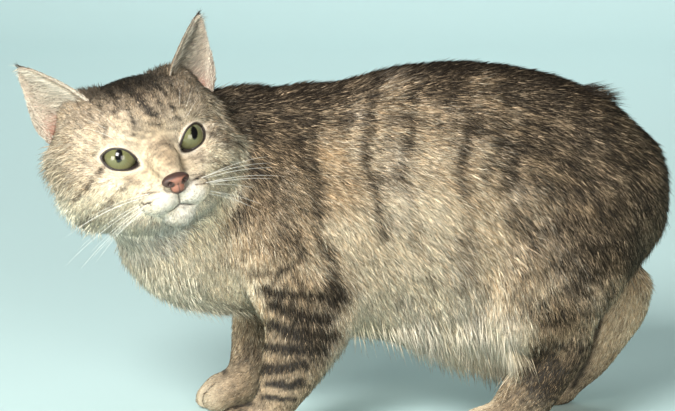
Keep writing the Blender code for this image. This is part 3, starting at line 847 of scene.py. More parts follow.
def chart_map(mesh, region):
    """Unwraps a mesh by solid and by the side each face looks to, packed in rows."""
    normal = fetched(mesh.polygons, "normal", 3)
    corner = fetched(mesh.loops, "vertex_index", 1, np.int32)
    total = fetched(mesh.polygons, "loop_total", 1, np.int32)
    faces = np.arange(len(mesh.polygons))
    axis = np.abs(normal).argmax(axis=1)
    first = np.concatenate([[0], np.cumsum(total)[:-1]])
    chart = region[corner[first]] * 6 + axis * 2 + (normal[faces, axis] > 0)
    owner = np.repeat(faces, total)
    points = points_of(mesh)[corner]
    flat = np.empty((len(corner), 2))
    for k, plane in enumerate(((1, 2), (0, 2), (0, 1))):
        chosen = axis[owner] == k
        flat[chosen] = points[chosen][:, plane]
    lows, boxes = {}, []
    for c in np.unique(chart):
        mine = flat[chart[owner] == c]
        lows[c] = mine.min(axis=0)
        boxes.append((c, np.ptp(mine, axis=0)))
    boxes.sort(key=lambda box: -box[1][1])
    scale = 1.0
    while not (placed := rows_of_charts(boxes, scale)):
        scale *= 0.96
    uv = np.array([placed[c] for c in chart[owner]])
    uv += (flat - np.array([lows[c] for c in chart[owner]])) * scale
    put_map(mesh, uv)


def put_map(mesh, uv):
    layer = mesh.uv_layers.new(name=BAKE_MAP)
    layer.data.foreach_set("uv", uv.astype(np.float32).ravel())


def toe_gap(points):
    """1 in the grooves between the toes, falling to 0 beside them; the grooves are pressed into the skin
    and darkened with painted shade.
    """
    x, y, z = ((points - np.array(MIDDLE)) / MM).T
    strength = np.zeros(len(points))
    for palm, middle, reach in PAWS:
        forward, sideways = palm - x, y - middle
        toes = step(forward, reach - 24, reach - 13) * (np.abs(sideways) < 18) * step(z, 24, 17)
        for gap in TOE_GAPS:
            strength = np.maximum(strength, toes * np.exp(-(((sideways - gap) / 1.6) ** 2)))
    return strength


GROWN = 0.35 * MM  # how much the solids are grown so that neighbours join
TOE_GROOVE = 2.4 * MM


def build_skin():
    """The skin of the flesh, shrunk by the coat's depth, with lids, lips and grooves between the toes."""
    mesh = wrapped(gathered((*FLESH, "eye_left", "eye_right", "nose"), GROWN), sizes().voxel)
    reworked(mesh, only_largest, lambda bm: refined(bm, 27))
    on_head = near_head(points_of(mesh))
    softened(mesh, 26, 0.5 - 0.42 * on_head)  # the joins go, and the face keeps its forms
    points = points_of(mesh)
    depth = coat_depth(points) + GROWN  # the skin hardly sinks at the soles
    above_sole = step(points[:, 2], 1.5 * MM, 9 * MM)
    set_points(mesh, points - normals_of(mesh) * (depth * (0.15 + 0.85 * above_sole))[:, None])
    softened(mesh, 10, 0.5 - 0.35 * on_head)
    points = points_of(mesh)
    set_points(mesh, points - normals_of(mesh) * TOE_GROOVE * toe_gap(points)[:, None])
    shaped_lids(mesh)
    reworked(mesh, lambda bm: refined(bm, 22))
    points = points_of(mesh)
    softened(mesh, 4, 0.4 * (near_head(points) > 0.5) * (nearest_opening(points) < 3))
    shaped_lids(mesh)
    # Round the lids, not on them
    points = points_of(mesh)
    share = nearest_opening(points)
    softened(mesh, 16, 0.45 * (near_head(points) > 0.5) * step(share, 1.25, 1.5) * step(share, 3.6, 2.8))
    reworked(mesh, open_lids)
    return mesh


def bare_share(points):
    """1 on the dark wet edges of the lids, less on the lips, and 0 where the coat grows."""
    bare = np.zeros(len(points))
    for side in (-1, 1):
        local = in_eye(points, side)
        close = (local[:, 1] < 2 * MM) & (np.linalg.norm(local, axis=1) < 18 * MM)
        bare = np.maximum(bare, step(opening_share(local, side), 1.24, 1.12) * close)
    head = in_head(points)
    return np.maximum(bare, 0.7 * step(mouth_gap(head), 0.9, 0.4) * step(np.abs(head[:, 0]), 13, 6))


class Finish:
    """A material under way, with the few kinds of node that the cat's finishes are made of."""

    def __init__(self, name, **numbers):
        self.material = bpy.data.materials.new(name)
        self.material.use_nodes = True
        self.nodes, self.links = self.material.node_tree.nodes, self.material.node_tree.links
        self.shader = self.nodes["Principled BSDF"]
        for socket, value in numbers.items():
            self.shader.inputs[socket.replace("_", " ")].default_value = value

    def feed(self, socket, value):
        """Gives a socket another node's output, or a plain number or colour."""
        if isinstance(value, bpy.types.NodeSocket):
            self.links.new(value, socket)
        elif socket.type == "RGBA":
            socket.default_value = (*value, 1)
        else:
            socket.default_value = value

    def colour(self, value):
        self.links.new(value, self.shader.inputs["Base Color"])

    def reading(self, name, output="Fac"):
        """The value that a mesh stores under a name."""
        node = self.nodes.new("ShaderNodeAttribute")
        node.attribute_name = name
        return node.outputs[output]

    def place(self):
        return self.nodes.new("ShaderNodeTexCoord").outputs["Object"]

    def times(self, value, factor, added=0.0):
        """A value times a factor, with another value or number added."""
        node = self.nodes.new("ShaderNodeMath")
        node.operation = "MULTIPLY_ADD"
        for socket, item in zip(node.inputs, (value, factor, added)):
            self.feed(socket, item)
        return node.outputs[0]

    def mixed(self, share, first, second):
        """A mix of two colours, each a plain colour or another node's output, by a share."""
        node = self.nodes.new("ShaderNodeMix")
        node.data_type = "RGBA"
        for socket, item in zip((node.inputs[0], node.inputs[6], node.inputs[7]), (share, first, second)):
            self.feed(socket, item)
        return node.outputs[2]

    def noise(self, size, detail=3.0, vector=None):
        """Noise of the given size in metres, over the object's own coordinates."""
        node = self.nodes.new("ShaderNodeTexNoise")
        node.inputs["Scale"].default_value = 1 / size
        node.inputs["Detail"].default_value = detail
        self.links.new(self.place() if vector is None else vector, node.inputs["Vector"])
        return node.outputs["Fac"]

    def ramp(self, value, *stops):
        """A colour ramp: each stop is its place and its colour."""
        node = self.nodes.new("ShaderNodeValToRGB")
        while len(node.color_ramp.elements) < len(stops):
            node.color_ramp.elements.new(0.5)
        for element, (place, colour) in zip(node.color_ramp.elements, stops):
            element.position = place
            element.color = (*colour, 1)
        self.links.new(value, node.inputs["Fac"])
        return node.outputs["Color"]

    def bump(self, height, distance):
        node = self.nodes.new("ShaderNodeBump")
        node.inputs["Distance"].default_value = distance
        node.inputs["Strength"].default_value = 1.0
        self.links.new(height, node.inputs["Height"])
        self.links.new(node.outputs["Normal"], self.shader.inputs["Normal"])


def shaded(colour, share):
    return tuple(channel * share for channel in colour)


def whitened(colour, share):
    return tuple(channel + (1 - channel) * share for channel in colour)


def coat_colour(finish, along):
    """Colour of a hair from its root to its tip, out of the markings stored on the mesh."""
    c = colours()
    root, band, tip = c.ground_root, c.ground_band, c.ground_tip
    bright, tick = whitened(c.pale, 0.2), shaded(c.pale, 0.6)
    ground = finish.ramp(
        along, (0.0, root), (0.35, band), (0.68, band), (0.78, tip), (0.88, tip), (1.0, band)
    )
    warm = finish.ramp(along, (0.0, shaded(c.warm, 0.4)), (0.5, c.warm), (1.0, shaded(c.warm, 1.15)))
    bar = finish.ramp(along, (0.0, shaded(c.bar, 1.6)), (0.45, c.bar), (1.0, shaded(c.bar, 0.8)))
    cream = finish.ramp(
        along, (0.0, shaded(c.pale, 0.7)), (0.5, c.pale), (0.72, bright), (0.84, tick), (0.95, bright)
    )
    white = finish.ramp(along, (0.0, shaded(c.white, 0.8)), (0.5, c.white), (1.0, whitened(c.white, 0.12)))
    tan = finish.reading("warm")
    creamy = finish.times(tan, 2.5)
    creamy.node.use_clamp = True
    pale = finish.mixed(creamy, white, cream)
    colour = finish.mixed(finish.times(tan, 0.55), ground, warm)
    colour = finish.mixed(finish.reading("pale"), colour, pale)
    colour = finish.mixed(finish.reading("dark"), colour, bar)
    return finish.mixed(finish.times(finish.reading("black"), 0.9), colour, shaded(c.bar, 0.45))


def coat_material():
    """Ticked hair: banded from root to tip, each tuft a little lighter or darker than the next."""
    finish = Finish("ticked_coat", Roughness=0.55, Specular_IOR_Level=0.15)
    tone = finish.reading("tone")
    varied = finish.nodes.new("ShaderNodeHueSaturation")
    shifted = finish.times(tone, 0.13, finish.reading("along"))
    finish.feed(varied.inputs["Color"], coat_colour(finish, shifted))
    finish.feed(varied.inputs["Value"], finish.times(tone, 0.45, 1.0))
    finish.colour(varied.outputs["Color"])
    return finish.material


def skin_material():
    """Undercoat over skin: the coat's own markings, streaked, and dark wet edges of lids and lips."""
    finish = Finish("cat_skin")
    streaks, bare = finish.noise(1.6 * MM, 4.0), finish.reading("bare")
    rim = finish.mixed(finish.noise(2 * MM), (0.016, 0.012, 0.010), (0.035, 0.024, 0.02))
    finish.colour(finish.mixed(bare, coat_colour(finish, finish.times(streaks, 0.5, 0.15)), rim))
    finish.feed(finish.shader.inputs["Roughness"], finish.times(bare, -0.45, 0.75))
    finish.bump(streaks, 0.6 * MM)
    return finish.material


def eye_material():
    """Green iris with fine rays round a dark upright pupil, under a clear wet surface."""
    finish = Finish(
        "cat_eye", Roughness=0.25, Specular_IOR_Level=0.1, Coat_Weight=0.8, Coat_Roughness=0.03
    )
    iris = colours().iris
    rays = finish.noise(1.0, 4.0, finish.reading("rays", "Vector"))
    body = finish.ramp(
        finish.reading("reach"),
        (0.0, shaded(iris, 1.25)), (0.42, shaded(iris, 1.15)), (0.74, iris), (0.90, shaded(iris, 0.5)),
        (0.95, (0.014, 0.012, 0.008)), (1.0, (0.012, 0.010, 0.009)),
    )
    body = finish.mixed(finish.times(rays, 0.55), body, shaded(iris, 0.35))
    finish.colour(finish.mixed(finish.reading("pupil"), body, (0.004, 0.004, 0.004)))
    return finish.material


def nose_material():
    """Brick-pink leather, dark at its outline, with painted shade in the nostrils and a fine cobbled grain.
    """
    finish = Finish("nose_leather", Roughness=0.5, Coat_Weight=0.08)
    pink = colours().nose
    mottled = finish.mixed(finish.noise(3 * MM), pink, shaded(pink, 0.6))
    # the outline value also carries the painted shade of the nostrils
    finish.colour(finish.mixed(finish.reading("outline"), mottled, (0.03, 0.016, 0.013)))
    cobbles = finish.nodes.new("ShaderNodeTexVoronoi")
    cobbles.inputs["Scale"].default_value = 1 / (0.6 * MM)
    finish.feed(cobbles.inputs["Vector"], finish.place())
    finish.bump(cobbles.outputs["Distance"], 0.1 * MM)
    return finish.material


def ear_material():
    """Thin skin, pinkish inside with painted shade deep at its root, dark along the edge."""
    finish = Finish(
        "ear_skin", Roughness=0.65, Subsurface_Weight=0.15, Subsurface_Radius=(4 * MM, 1.5 * MM, MM)
    )
    pink = colours().ear
    fine = finish.noise(1.2 * MM)
    inside = finish.mixed(finish.noise(6 * MM), pink, shaded(pink, 0.82))
    # painted shade deep in the ear's hollow at its root
    inside = finish.mixed(finish.reading("pocket"), inside, (0.30, 0.13, 0.085))
    outside = coat_colour(finish, finish.times(fine, 0.5, 0.2))
    colour = finish.mixed(finish.reading("outside"), inside, outside)
    finish.colour(finish.mixed(finish.reading("edge"), colour, (0.09, 0.065, 0.045)))
    finish.bump(fine, 0.2 * MM)
    return finish.material


def mottled_material(name, size, first, second, roughness):
    """A plain finish that wanders between two colours, for the whiskers and the floor."""
    finish = Finish(name, Roughness=roughness)
    finish.colour(finish.mixed(finish.noise(size), first, second))
    return finish.material


class Roots:
    """Roots of tufts on a mesh: places, normals, map places and stored values."""

    def __init__(self, mesh, rng, density):
        """density is the tufts wanted for each square metre, given at every point of the mesh."""
        mesh.calc_loop_triangles()
        triangles = mesh.loop_triangles
        corners = fetched(triangles, "vertices", 3, np.int32)
        loops = fetched(triangles, "loops", 3, np.int32)
        points = points_of(mesh)
        a, b, c = (points[corners[:, k]] for k in range(3))
        area = np.linalg.norm(np.cross(b - a, c - a), axis=1) / 2
        expected = area * density[corners].mean(axis=1)
        number = np.floor(expected + rng.random(len(triangles))).astype(int)
        triangle = np.repeat(np.arange(len(triangles)), number)
        u, v = rng.random((2, len(triangle)))
        flip = u + v > 1
        u, v = np.where(flip, 1 - u, u), np.where(flip, 1 - v, v)
        self.weights = np.stack([1 - u - v, u, v], axis=1)
        self.corners = corners[triangle]
        self.place = self.over(points)
        normal = self.over(normals_of(mesh))
        self.normal = normal / np.linalg.norm(normal, axis=1, keepdims=True)
        uv = fetched(mesh.uv_layers[BAKE_MAP].data, "uv", 2)
        self.uv = (uv[loops[triangle]] * self.weights[:, :, None]).sum(axis=1)

    def over(self, values):
        """A value of the mesh's points, spread over the roots."""
        weights = self.weights if values.ndim == 1 else self.weights[:, :, None]
        return (values[self.corners] * weights).sum(axis=1)

    def keep(self, chosen):
        for name in ("weights", "corners", "place", "normal", "uv"):
            setattr(self, name, getattr(self, name)[chosen])


# A short tuft is a sliver with four corners: two at the root, a ridge and the tip.
# Each kind of tuft is its faces, each corner's share of the way along, and its patch of the map.
SLIVER = (
    np.array([[0, 1, 2], [0, 2, 3], [1, 3, 2], [0, 3, 1]]),
    np.array([0.08, 0.08, 0.42, 1.0]),
    np.array([[-0.0013, 0.0], [0.0013, 0.0], [0.0, 0.0010], [0.0, 0.0026]]),
)
SLIVER_STRAY = 0.22  # how far the tufts' ways differ, in radians
SLIVER_SINK = 0.3 * MM  # how far a tuft's root stands in the skin


def turned(way, normal, angle):
    """Ways along the skin turned about its normal by an angle for each."""
    return way * np.cos(angle)[:, None] + np.cross(normal, way) * np.sin(angle)[:, None]


def slivers(roots, way, length, lift, width, rng, stray=SLIVER_STRAY, sink=SLIVER_SINK):
    """Corners of the short tufts, shape (number, 4, 3)."""
    count = len(way)
    way = turned(way, roots.normal, rng.normal(0, stray, count))
    length = length * rng.uniform(0.7, 1.15, count)
    lift = lift * rng.uniform(0.55, 1.15, count)
    width = (width * rng.uniform(0.7, 1.3, count))[:, None]
    side = np.cross(way, roots.normal)
    base = roots.place - roots.normal * sink
    rise = roots.normal * (length * np.sin(lift))[:, None]
    run = way * (length * np.cos(lift))[:, None]
    left = base - side * (width / 2)
    right = base + side * (width / 2)
    ridge = base + run * 0.42 + rise * 0.44 + roots.normal * (0.5 * width)
    return np.stack([left, right, ridge, base + run + rise * 0.92], axis=1)


def marks_along(roots, skin, run):
    """The markings of the coat at a run along each tuft from its root."""
    return markings(roots.place + run, roots.over(stored(skin, "on_head")))


def tones_for(count, rng, middle, reach):
    """How much lighter or darker than its neighbours each tuft is, from -1 to 1."""
    return np.clip(rng.normal(middle, reach, count), -1, 1)


def coat_piece(name, roots, corners, marks, tone, kind):
    """Makes one piece of the coat from the corners of its tufts, none of them under the floor."""
    faces, along, patch = kind
    count, per = corners.shape[:2]
    corners[..., 2] = np.maximum(corners[..., 2], LEAST_HEIGHT)
    index = (np.arange(count) * per)[:, None, None] + faces[None]
    mesh = mesh_of(name, corners.reshape(-1, 3), index.reshape(-1, 3))
    put_values(mesh, **{mark: np.repeat(values, per) for mark, values in zip(MARKS, marks.T)})
    put_values(mesh, tone=np.repeat(tone, per), along=np.tile(along, count))
    uv = np.clip(roots.uv[:, None, :] + patch[None], 0.0005, 0.9995)
    put_map(mesh, uv.reshape(-1, 2)[index.ravel()])
    mesh.shade_smooth()
    material = bpy.data.materials.get("ticked_coat") or coat_material()
    piece(name, mesh, material)


# Parts of the coat: the skin's regions, the side it covers, its slot and the most tufts to a square metre
COAT_PARTS = (
    ("coat_head_left", ("head",), 1, "face_coat", 2.2e6),
    ("coat_head_right", ("head",), -1, "face_coat", 2.2e6),
    ("coat_neck", ("neck",), 0, "tabby_coat", 2.2e6),
    ("coat_chest", ("chest",), 0, "tabby_coat", 2.2e6),
    ("coat_belly", ("belly",), 0, "belly_coat", 2.2e6),
    ("coat_rump_left", ("rump",), 1, "tabby_coat", 2.2e6),
    ("coat_rump_right", ("rump",), -1, "tabby_coat", 2.2e6),
    ("coat_forelegs", ("foreleg_left", "foreleg_right"), 0, "leg_coat", 1.05e6),
    ("coat_hind_legs", ("hind_leg_left", "hind_leg_right"), 0, "leg_coat", 1.0e6),
    ("coat_front_paws", ("front_paw_left", "front_paw_right"), 0, "paw_coat", 1.5e6),
    ("coat_hind_feet", ("hind_foot_left", "hind_foot_right"), 0, "paw_coat", 1.5e6),
)
COVER = 9.9  # how many times over the tufts of the coat cover the skin
FEWEST = 0.6e6  # tufts to a square metre
SOLE_HEIGHT = 1.2 * MM  # no fur grows lower
GUARD_HAIRS, GUARD_WIDTH = 0.09e6, 0.36 * MM  # number to a square metre, and width


def tuft_width(length):
    """Short fur stands in finer tufts than long fur."""
    return 0.24 * MM + 0.020 * length


def short_coat(name, regions, side, slot, most, seed):
    """Lays the short tufts of one part of the coat on the skin."""
    skin = bpy.data.objects["skin"].data
    rng = np.random.default_rng(seed)
    length = stored(skin, "length")
    density = np.clip(COVER / (tuft_width(length) * length), FEWEST, most)
    roots = Roots(skin, rng, density * sizes().coat_share)
    across = in_head(roots.place)[:, 0] if regions == ("head",) else MIDDLE.y - roots.place[:, 1]
    region = stored(skin, "region").round().astype(int)[roots.corners[:, 0]]
    own = np.isin(region, [FLESH.index(part) for part in regions]) & (across * side >= 0)
    covered = roots.over(stored(skin, "bare")) < 0.35
    roots.keep(own & covered & (roots.place[:, 2] >= SOLE_HEIGHT))
    way, length, lift = lie_of_coat(roots.place, roots.normal)
    marks = marks_along(roots, skin, way * (length * 0.55)[:, None])
    marks[:, :2] += rng.normal(0, 0.32, (len(way), 2)) * (marks[:, :2] > 0.04)
    marks = np.clip(marks, 0, 1)
    tone = tones_for(len(way), rng, 0, 0.55)
    corners = slivers(roots, way, length, lift, tuft_width(length), rng)
    coat_piece(name, roots, corners, marks, tone, SLIVER)


# A long lock has three rings of three corners and a tip. Each ring is its place along and its thickness.
LOCK_RINGS = ((0.0, 0.8), (0.3, 1.0), (0.65, 0.7))


def lock_faces():
    faces = [(0, 1, 2)]
    for k in range(3):
        n = (k + 1) % 3
        for a in (0, 3):
            faces += [(a + k, a + 3 + k, a + 3 + n), (a + k, a + 3 + n, a + n)]
        faces.append((6 + k, 9, 6 + n))
    return np.array(faces)


LOCK = (
    lock_faces(),
    np.array([0.1] * 3 + [0.35] * 3 + [0.65] * 3 + [1.0]),
    np.array([(-0.0012 + 0.0012 * k, 0.0009 * i) for i in range(3) for k in range(3)] + [(0, 0.0027)]),
)


def locks(roots, way, length, lift, width, droop, rng):
    """Corners of long tapered tufts that bend down under their weight, shape (number, 10, 3)."""
    count = len(way)
    way = turned(way, roots.normal, rng.normal(0, 0.22, count))
    length = (length * rng.uniform(0.7, 1.2, count))[:, None]
    lift = (lift * rng.uniform(0.6, 1.3, count))[:, None]
    width = (width * rng.uniform(0.7, 1.3, count))[:, None]
    side = np.cross(way, roots.normal)
    rise = roots.normal * np.sin(lift) + way * np.cos(lift)
    base = roots.place - roots.normal * 0.4 * MM
    corners = []
    for along, thick in LOCK_RINGS:
        centre = base + rise * length * along - (0, 0, 1) * length * droop * along**2
        half = side * width * thick / 2
        corners += [centre - half, centre + half, centre + roots.normal * width * 0.35 * thick]
    corners.append(base + rise * length - (0, 0, 1) * length * droop)
    return np.stack(corners, axis=1)


def near_place(points, place, reach):
    """1 at a place of the design, in millimetres, falling to 0 at its reach, on both sides of the cat."""
    return step(np.linalg.norm((in_design(points) - place) / reach, axis=1), 1.0, 0.6)


def fringe_places(points):
    """Along the lower edge of the belly and up the fold of the flank."""
    edge = near_place(points, (50, 50, 64), (70, 26, 34))
    return np.maximum(edge, near_place(points, (98, 50, 76), (40, 24, 30)))


def chest_places(points):
    front = near_place(points, (-115, 0, 118), (46, 44, 42))
    return np.maximum(front, near_place(points, (-70, 0, 90), (50, 40, 28)))


def ruff_places(points):
    """Round the cheeks, where the face's fur stands over the neck's."""
    left, back, up = in_head(points).T
    across = np.abs(left)
    rim = step(across, 44, 52) * step(back, 16, 26) * step(back, 58, 46) * step(up, 26, 10)
    under = step(-up, 46, 54) * step(back, 52, 36) * step(back, 0, 10)
    return np.maximum(rim, 0.4 * under) * step(-up, 84, 70)


def ear_base_places(points):
    """In front of the inner root of each ear."""
    head = in_head(points)
    head[:, 0] = np.abs(head[:, 0])
    return step(np.linalg.norm((head - (27, 38, 46)) / (13, 14, 13), axis=1), 1.0, 0.6)


def tail_places(points):
    """Where the tail would grow."""
    return near_place(points, (170, 0, 241), (15, 10, 15))


# Long coat: name, slot, what parts and places it grows on, tufts to a square mm,
# length and width in mm, lift in degrees, droop
LONG_COATS = (
    ("long_fringe", "belly_coat", ("belly", "rump", "hind_leg_left", "hind_leg_right"),
     fringe_places, 0.75, 24, 0.7, 22, 0.30),
    ("long_chest", "tabby_coat", ("chest", "neck"), chest_places, 0.20, 15, 0.8, 28, 0.22),
    ("long_ruff", "face_coat", ("head", "neck"), ruff_places, 0.32, 13, 0.5, 24, 0.12),
    ("long_ear_base", "face_coat", ("head",), ear_base_places, 1.0, 8, 0.5, 30, 0.0),
    ("long_tail_place", "tabby_coat", ("rump",), tail_places, 1.2, 22, 0.8, 32, 0.02),
)


def long_coat(name, slot, parts, places, per_mm2, length, width, lift, droop, seed):
    """Lays long tufts where the coat is loose and breaks the outline."""
    skin = bpy.data.objects["skin"].data
    rng = np.random.default_rng(seed)
    own = np.isin(stored(skin, "region").round(), [FLESH.index(part) for part in parts])
    share = places(points_of(skin)) * own * (stored(skin, "bare") < 0.3)
    roots = Roots(skin, rng, share * per_mm2 / MM**2 * sizes().coat_share)
    way, _, _ = lie_of_coat(roots.place, roots.normal)
    marks = marks_along(roots, skin, way * length * 0.6 * MM)
    if slot == "belly_coat":
        marks[:, 0] *= 0.6
        marks[:, 1] = np.maximum(marks[:, 1], 0.5)
    tone = tones_for(len(way), rng, 0.1, 0.5)
    corners = locks(roots, way, length * MM, radians(lift), width * MM, droop, rng)
    coat_piece(name, roots, corners, marks, tone, LOCK)


def guard_hairs(name, side, seed):
    """Sparse longer hairs that stand a little out of the body's coat and soften its outline."""
    skin = bpy.data.objects["skin"].data
    rng = np.random.default_rng(seed)
    body = step(stored(skin, "length"), 7 * MM, 11 * MM) * (1 - stored(skin, "on_head"))
    roots = Roots(skin, rng, body * GUARD_HAIRS * sizes().coat_share)
    roots.keep((MIDDLE.y - roots.place[:, 1]) * side >= 0)
    way, length, lift = lie_of_coat(roots.place, roots.normal)
    marks = marks_along(roots, skin, way * (length * 0.8)[:, None])
    marks[:, 0] = np.clip(marks[:, 0] + rng.normal(0.1, 0.25, len(way)), 0, 1)
    tone = tones_for(len(way), rng, 0.1, 0.6)
    corners = slivers(roots, way, length * 1.2, lift, GUARD_WIDTH, rng, stray=0.25)
    coat_piece(name, roots, corners, marks, tone, SLIVER)


class CAT_OT_skin(bpy.types.Operator):
    """Draws one skin round the solids of the flesh, inside them by the depth of the coat"""

    bl_idname = "cat.skin"
    bl_label = "Skin"

    def execute(self, context):
        mesh = build_skin()
        mesh.shade_smooth()
        points = points_of(mesh)
        region = region_of(points)
        on_head = spread(mesh, (region == FLESH.index("head")).astype(float), 4)
        length = lie_of_coat(points, normals_of(mesh))[1]
        put_values(mesh, region=region, on_head=on_head, length=length, bare=bare_share(points))
        put_values(mesh, **dict(zip(MARKS, markings(points, on_head).T)))
        chart_map(mesh, region)
        piece("skin", mesh, skin_material(), FLESH)
        return {"FINISHED"}


class CAT_OT_long_coat(bpy.types.Operator):
    """Adds the belly's fringe, the chest's and cheeks' long fur, and the guard hairs of the body"""

    bl_idname = "cat.long_coat"
    bl_label = "Long coat"

    def execute(self, context):
        for i, part in enumerate(LONG_COATS):
            long_coat(*part, seed=sizes().seed + 20 + i)
        guard_hairs("guard_hairs_left", 1, sizes().seed + 31)
        guard_hairs("guard_hairs_right", -1, sizes().seed + 32)
        return {"FINISHED"}


class CAT_OT_coat(bpy.types.Operator):
    """Lays the short ticked coat on the skin, part by part"""

    bl_idname = "cat.coat"
    bl_label = "Short coat"

    def execute(self, context):
        for i, part in enumerate(COAT_PARTS):
            short_coat(*part, seed=sizes().seed + i)
        return {"FINISHED"}


EYE_RINGS, EYE_SPOKES = 48, 72
IRIS_RADIUS, PUPIL_HALF_WIDTH, PUPIL_HALF_HEIGHT = 10.8 * MM, 2.5 * MM, 4.6 * MM
CORNEA_BULGE = 0.9 * MM
# How far the left and right pupils stand from the eyeballs' middles, across and up
GAZE = {1: (-1.6 * MM, 1.6 * MM), -1: (0.6 * MM, 2.6 * MM)}


def eyeball(side):
    """A ball with a bulging cornea, rings of points round the axis that looks out."""
    sideways = eye_frame(side).to_3x3().transposed() @ Vector((1, 0, 0))
    upright = np.array((-sideways.z, sideways.x)) / np.hypot(sideways.x, sideways.z)
    turn = np.repeat(pi * np.arange(EYE_RINGS + 1) / EYE_RINGS, EYE_SPOKES)
    spoke = np.tile(2 * pi * np.arange(EYE_SPOKES) / EYE_SPOKES, EYE_RINGS + 1)
    front = turn < pi / 2
    radius = EYE_RADIUS * np.sin(turn)
    x, z = radius * np.cos(spoke), radius * np.sin(spoke)
    bulge = CORNEA_BULGE * np.maximum(0, 1 - (radius / IRIS_RADIUS) ** 2) * front
    up = x * upright[0] + z * upright[1] - GAZE[side][1]
    across = x * upright[1] - z * upright[0] - GAZE[side][0]
    away = np.where(front, np.hypot(across, up) / IRIS_RADIUS, 1.2)
    oval = np.where(front, np.hypot(across / PUPIL_HALF_WIDTH, up / PUPIL_HALF_HEIGHT), 9)
    way = np.arctan2(up, across)
    here = np.arange(EYE_RINGS * EYE_SPOKES).reshape(EYE_RINGS, EYE_SPOKES)
    beside = np.roll(here, -1, axis=1)
    faces = np.stack([here, beside, beside + EYE_SPOKES, here + EYE_SPOKES], axis=2).reshape(-1, 4)
    verts = np.stack([x, -EYE_RADIUS * np.cos(turn) - bulge, z], axis=1)
    mesh = mesh_of("eyeball", out_of_eye(verts, side), faces)
    put_values(mesh, reach=np.minimum(away * 0.93, 1.0), pupil=step(oval, 1.12, 0.92))
    rays = np.stack([np.cos(way) * 9, np.sin(way) * 9, away * 1.6], axis=1)
    layer = mesh.attributes.new("rays", "FLOAT_VECTOR", "POINT")
    layer.data.foreach_set("vector", rays.astype(np.float32).ravel())
    reworked(mesh, merged)
    mesh.shade_smooth()
    return mesh


class CAT_OT_eyes(bpy.types.Operator):
    """Makes both eyes with iris, pupil and cornea"""

    bl_idname = "cat.eyes"
    bl_label = "Eyes"

    def execute(self, context):
        material = eye_material()
        for side, name in ((1, "left"), (-1, "right")):
            piece("eyeball_" + name, eyeball(side), material, ("eye_" + name,))
        return {"FINISHED"}


NOSTRIL_OUT, NOSTRIL_UP = 5.3, -23.6  # middle of each nostril in the head's frame, in millimetres


class CAT_OT_nose(bpy.types.Operator):
    """Makes the leather of the nose from its solid, with smooth nostrils darkened by painted shade"""

    bl_idname = "cat.nose"
    bl_label = "Nose"

    def execute(self, context):
        mesh = wrapped(gathered(("nose",), 0.2 * MM), 0.3 * MM)
        softened(mesh, 7, 0.5)
        mesh.shade_smooth()
        left, y, z = in_head(points_of(mesh)).T
        x = np.abs(left)
        top = step(z + 0.10 * x, -21.6, -19.6)
        sides = step(x, 6.4, 8.4)
        low = step(-z, 28.5, 31.0)
        back = step(y, -29.0, -26.0)
        out = x - NOSTRIL_OUT
        # painted shade in the nostrils, added to the dark outline below
        nostril = step(np.hypot(out / 3.0, (z - NOSTRIL_UP - 0.3 * out) / 2.1), 1.25, 0.8)
        cleft = step(x, 0.7, 0.25) * step(-z, 23, 25)
        outline = np.clip(top + sides + low + back + nostril + 0.6 * cleft, 0, 1)
        put_values(mesh, outline=outline * 0.92)
        piece("nose_leather", mesh, nose_material(), ("nose",))
        return {"FINISHED"}


EAR_ROOT, EAR_TIP = np.array((40.0, 43.0, 32.0)), np.array((65.0, 43.0, 76.0))
EAR_ACROSS = np.array((31.4, 22, -28))  # roughly from the front edge to the back one
EAR_SINK = 9.0  # how far the root of an ear is carried on into the head, in millimetres
EAR_HAIRS, EAR_SINK_OF_HAIR = 2.6e6, 0.08 * MM  # hairs to a square metre, and how deep they stand


def ear_mesh(name, side):
    """An ear's own skin from its solid, rounder and finer, its root carried on under the head's coat."""
    mesh = wrapped(gathered((name,), 0.0), 0.7 * MM)
    softened(mesh, 6, 0.5)
    points = points_of(mesh)
    tree = tree_of("head")
    gap = np.array([tree.find_nearest(Vector(p))[3] for p in points]) / MM
    axis = (EAR_TIP - EAR_ROOT) * (side, 1, 1)
    sink = np.array(HEAD_TURN) @ axis / np.linalg.norm(axis) * EAR_SINK * MM
    set_points(mesh, points - step(gap, 2.2, 0.7)[:, None] * sink)
    mesh.shade_smooth()
    return mesh


def ear_places(points, normals, side):
    """For points of an ear: the share of the way up, the way across in millimetres and how far
    each faces into the ear, with the two ways that these are measured along."""
    head = in_head(points) * (side, 1, 1)
    axis = EAR_TIP - EAR_ROOT
    up = (head - EAR_ROOT) @ axis / (axis @ axis)
    across = EAR_ACROSS - axis * (EAR_ACROSS @ axis) / (axis @ axis)
    across /= np.linalg.norm(across)
    over = (head - EAR_ROOT - up[:, None] * axis) @ across
    facing = normals @ np.array(HEAD_TURN) * (side, 1, 1)
    opening = np.cross(across, axis / np.linalg.norm(axis))
    middle = EAR_ROOT + up[:, None] * axis + opening * (3 + 12 * (1 - np.clip(up, 0, 1)))[:, None]
    toward = middle - head
    inward = (facing * toward).sum(axis=1) / np.linalg.norm(toward, axis=1)
    return up, over, inward, across, axis / np.linalg.norm(axis)


def ear_half_width(up):
    """Half the width of an ear, in millimetres, at a share of the way up."""
    return 20 * np.clip(1 - np.clip(up, 0, 1) ** 1.35, 0, 1) ** 0.8 + 1.2


def ear_pocket(up, over):
    """1 in the deep of an ear at its root, falling to 0 up and across; the ear's skin takes painted shade
    there.
    """
    return step(up, 0.38, 0.02) * step(over, -6, 8)


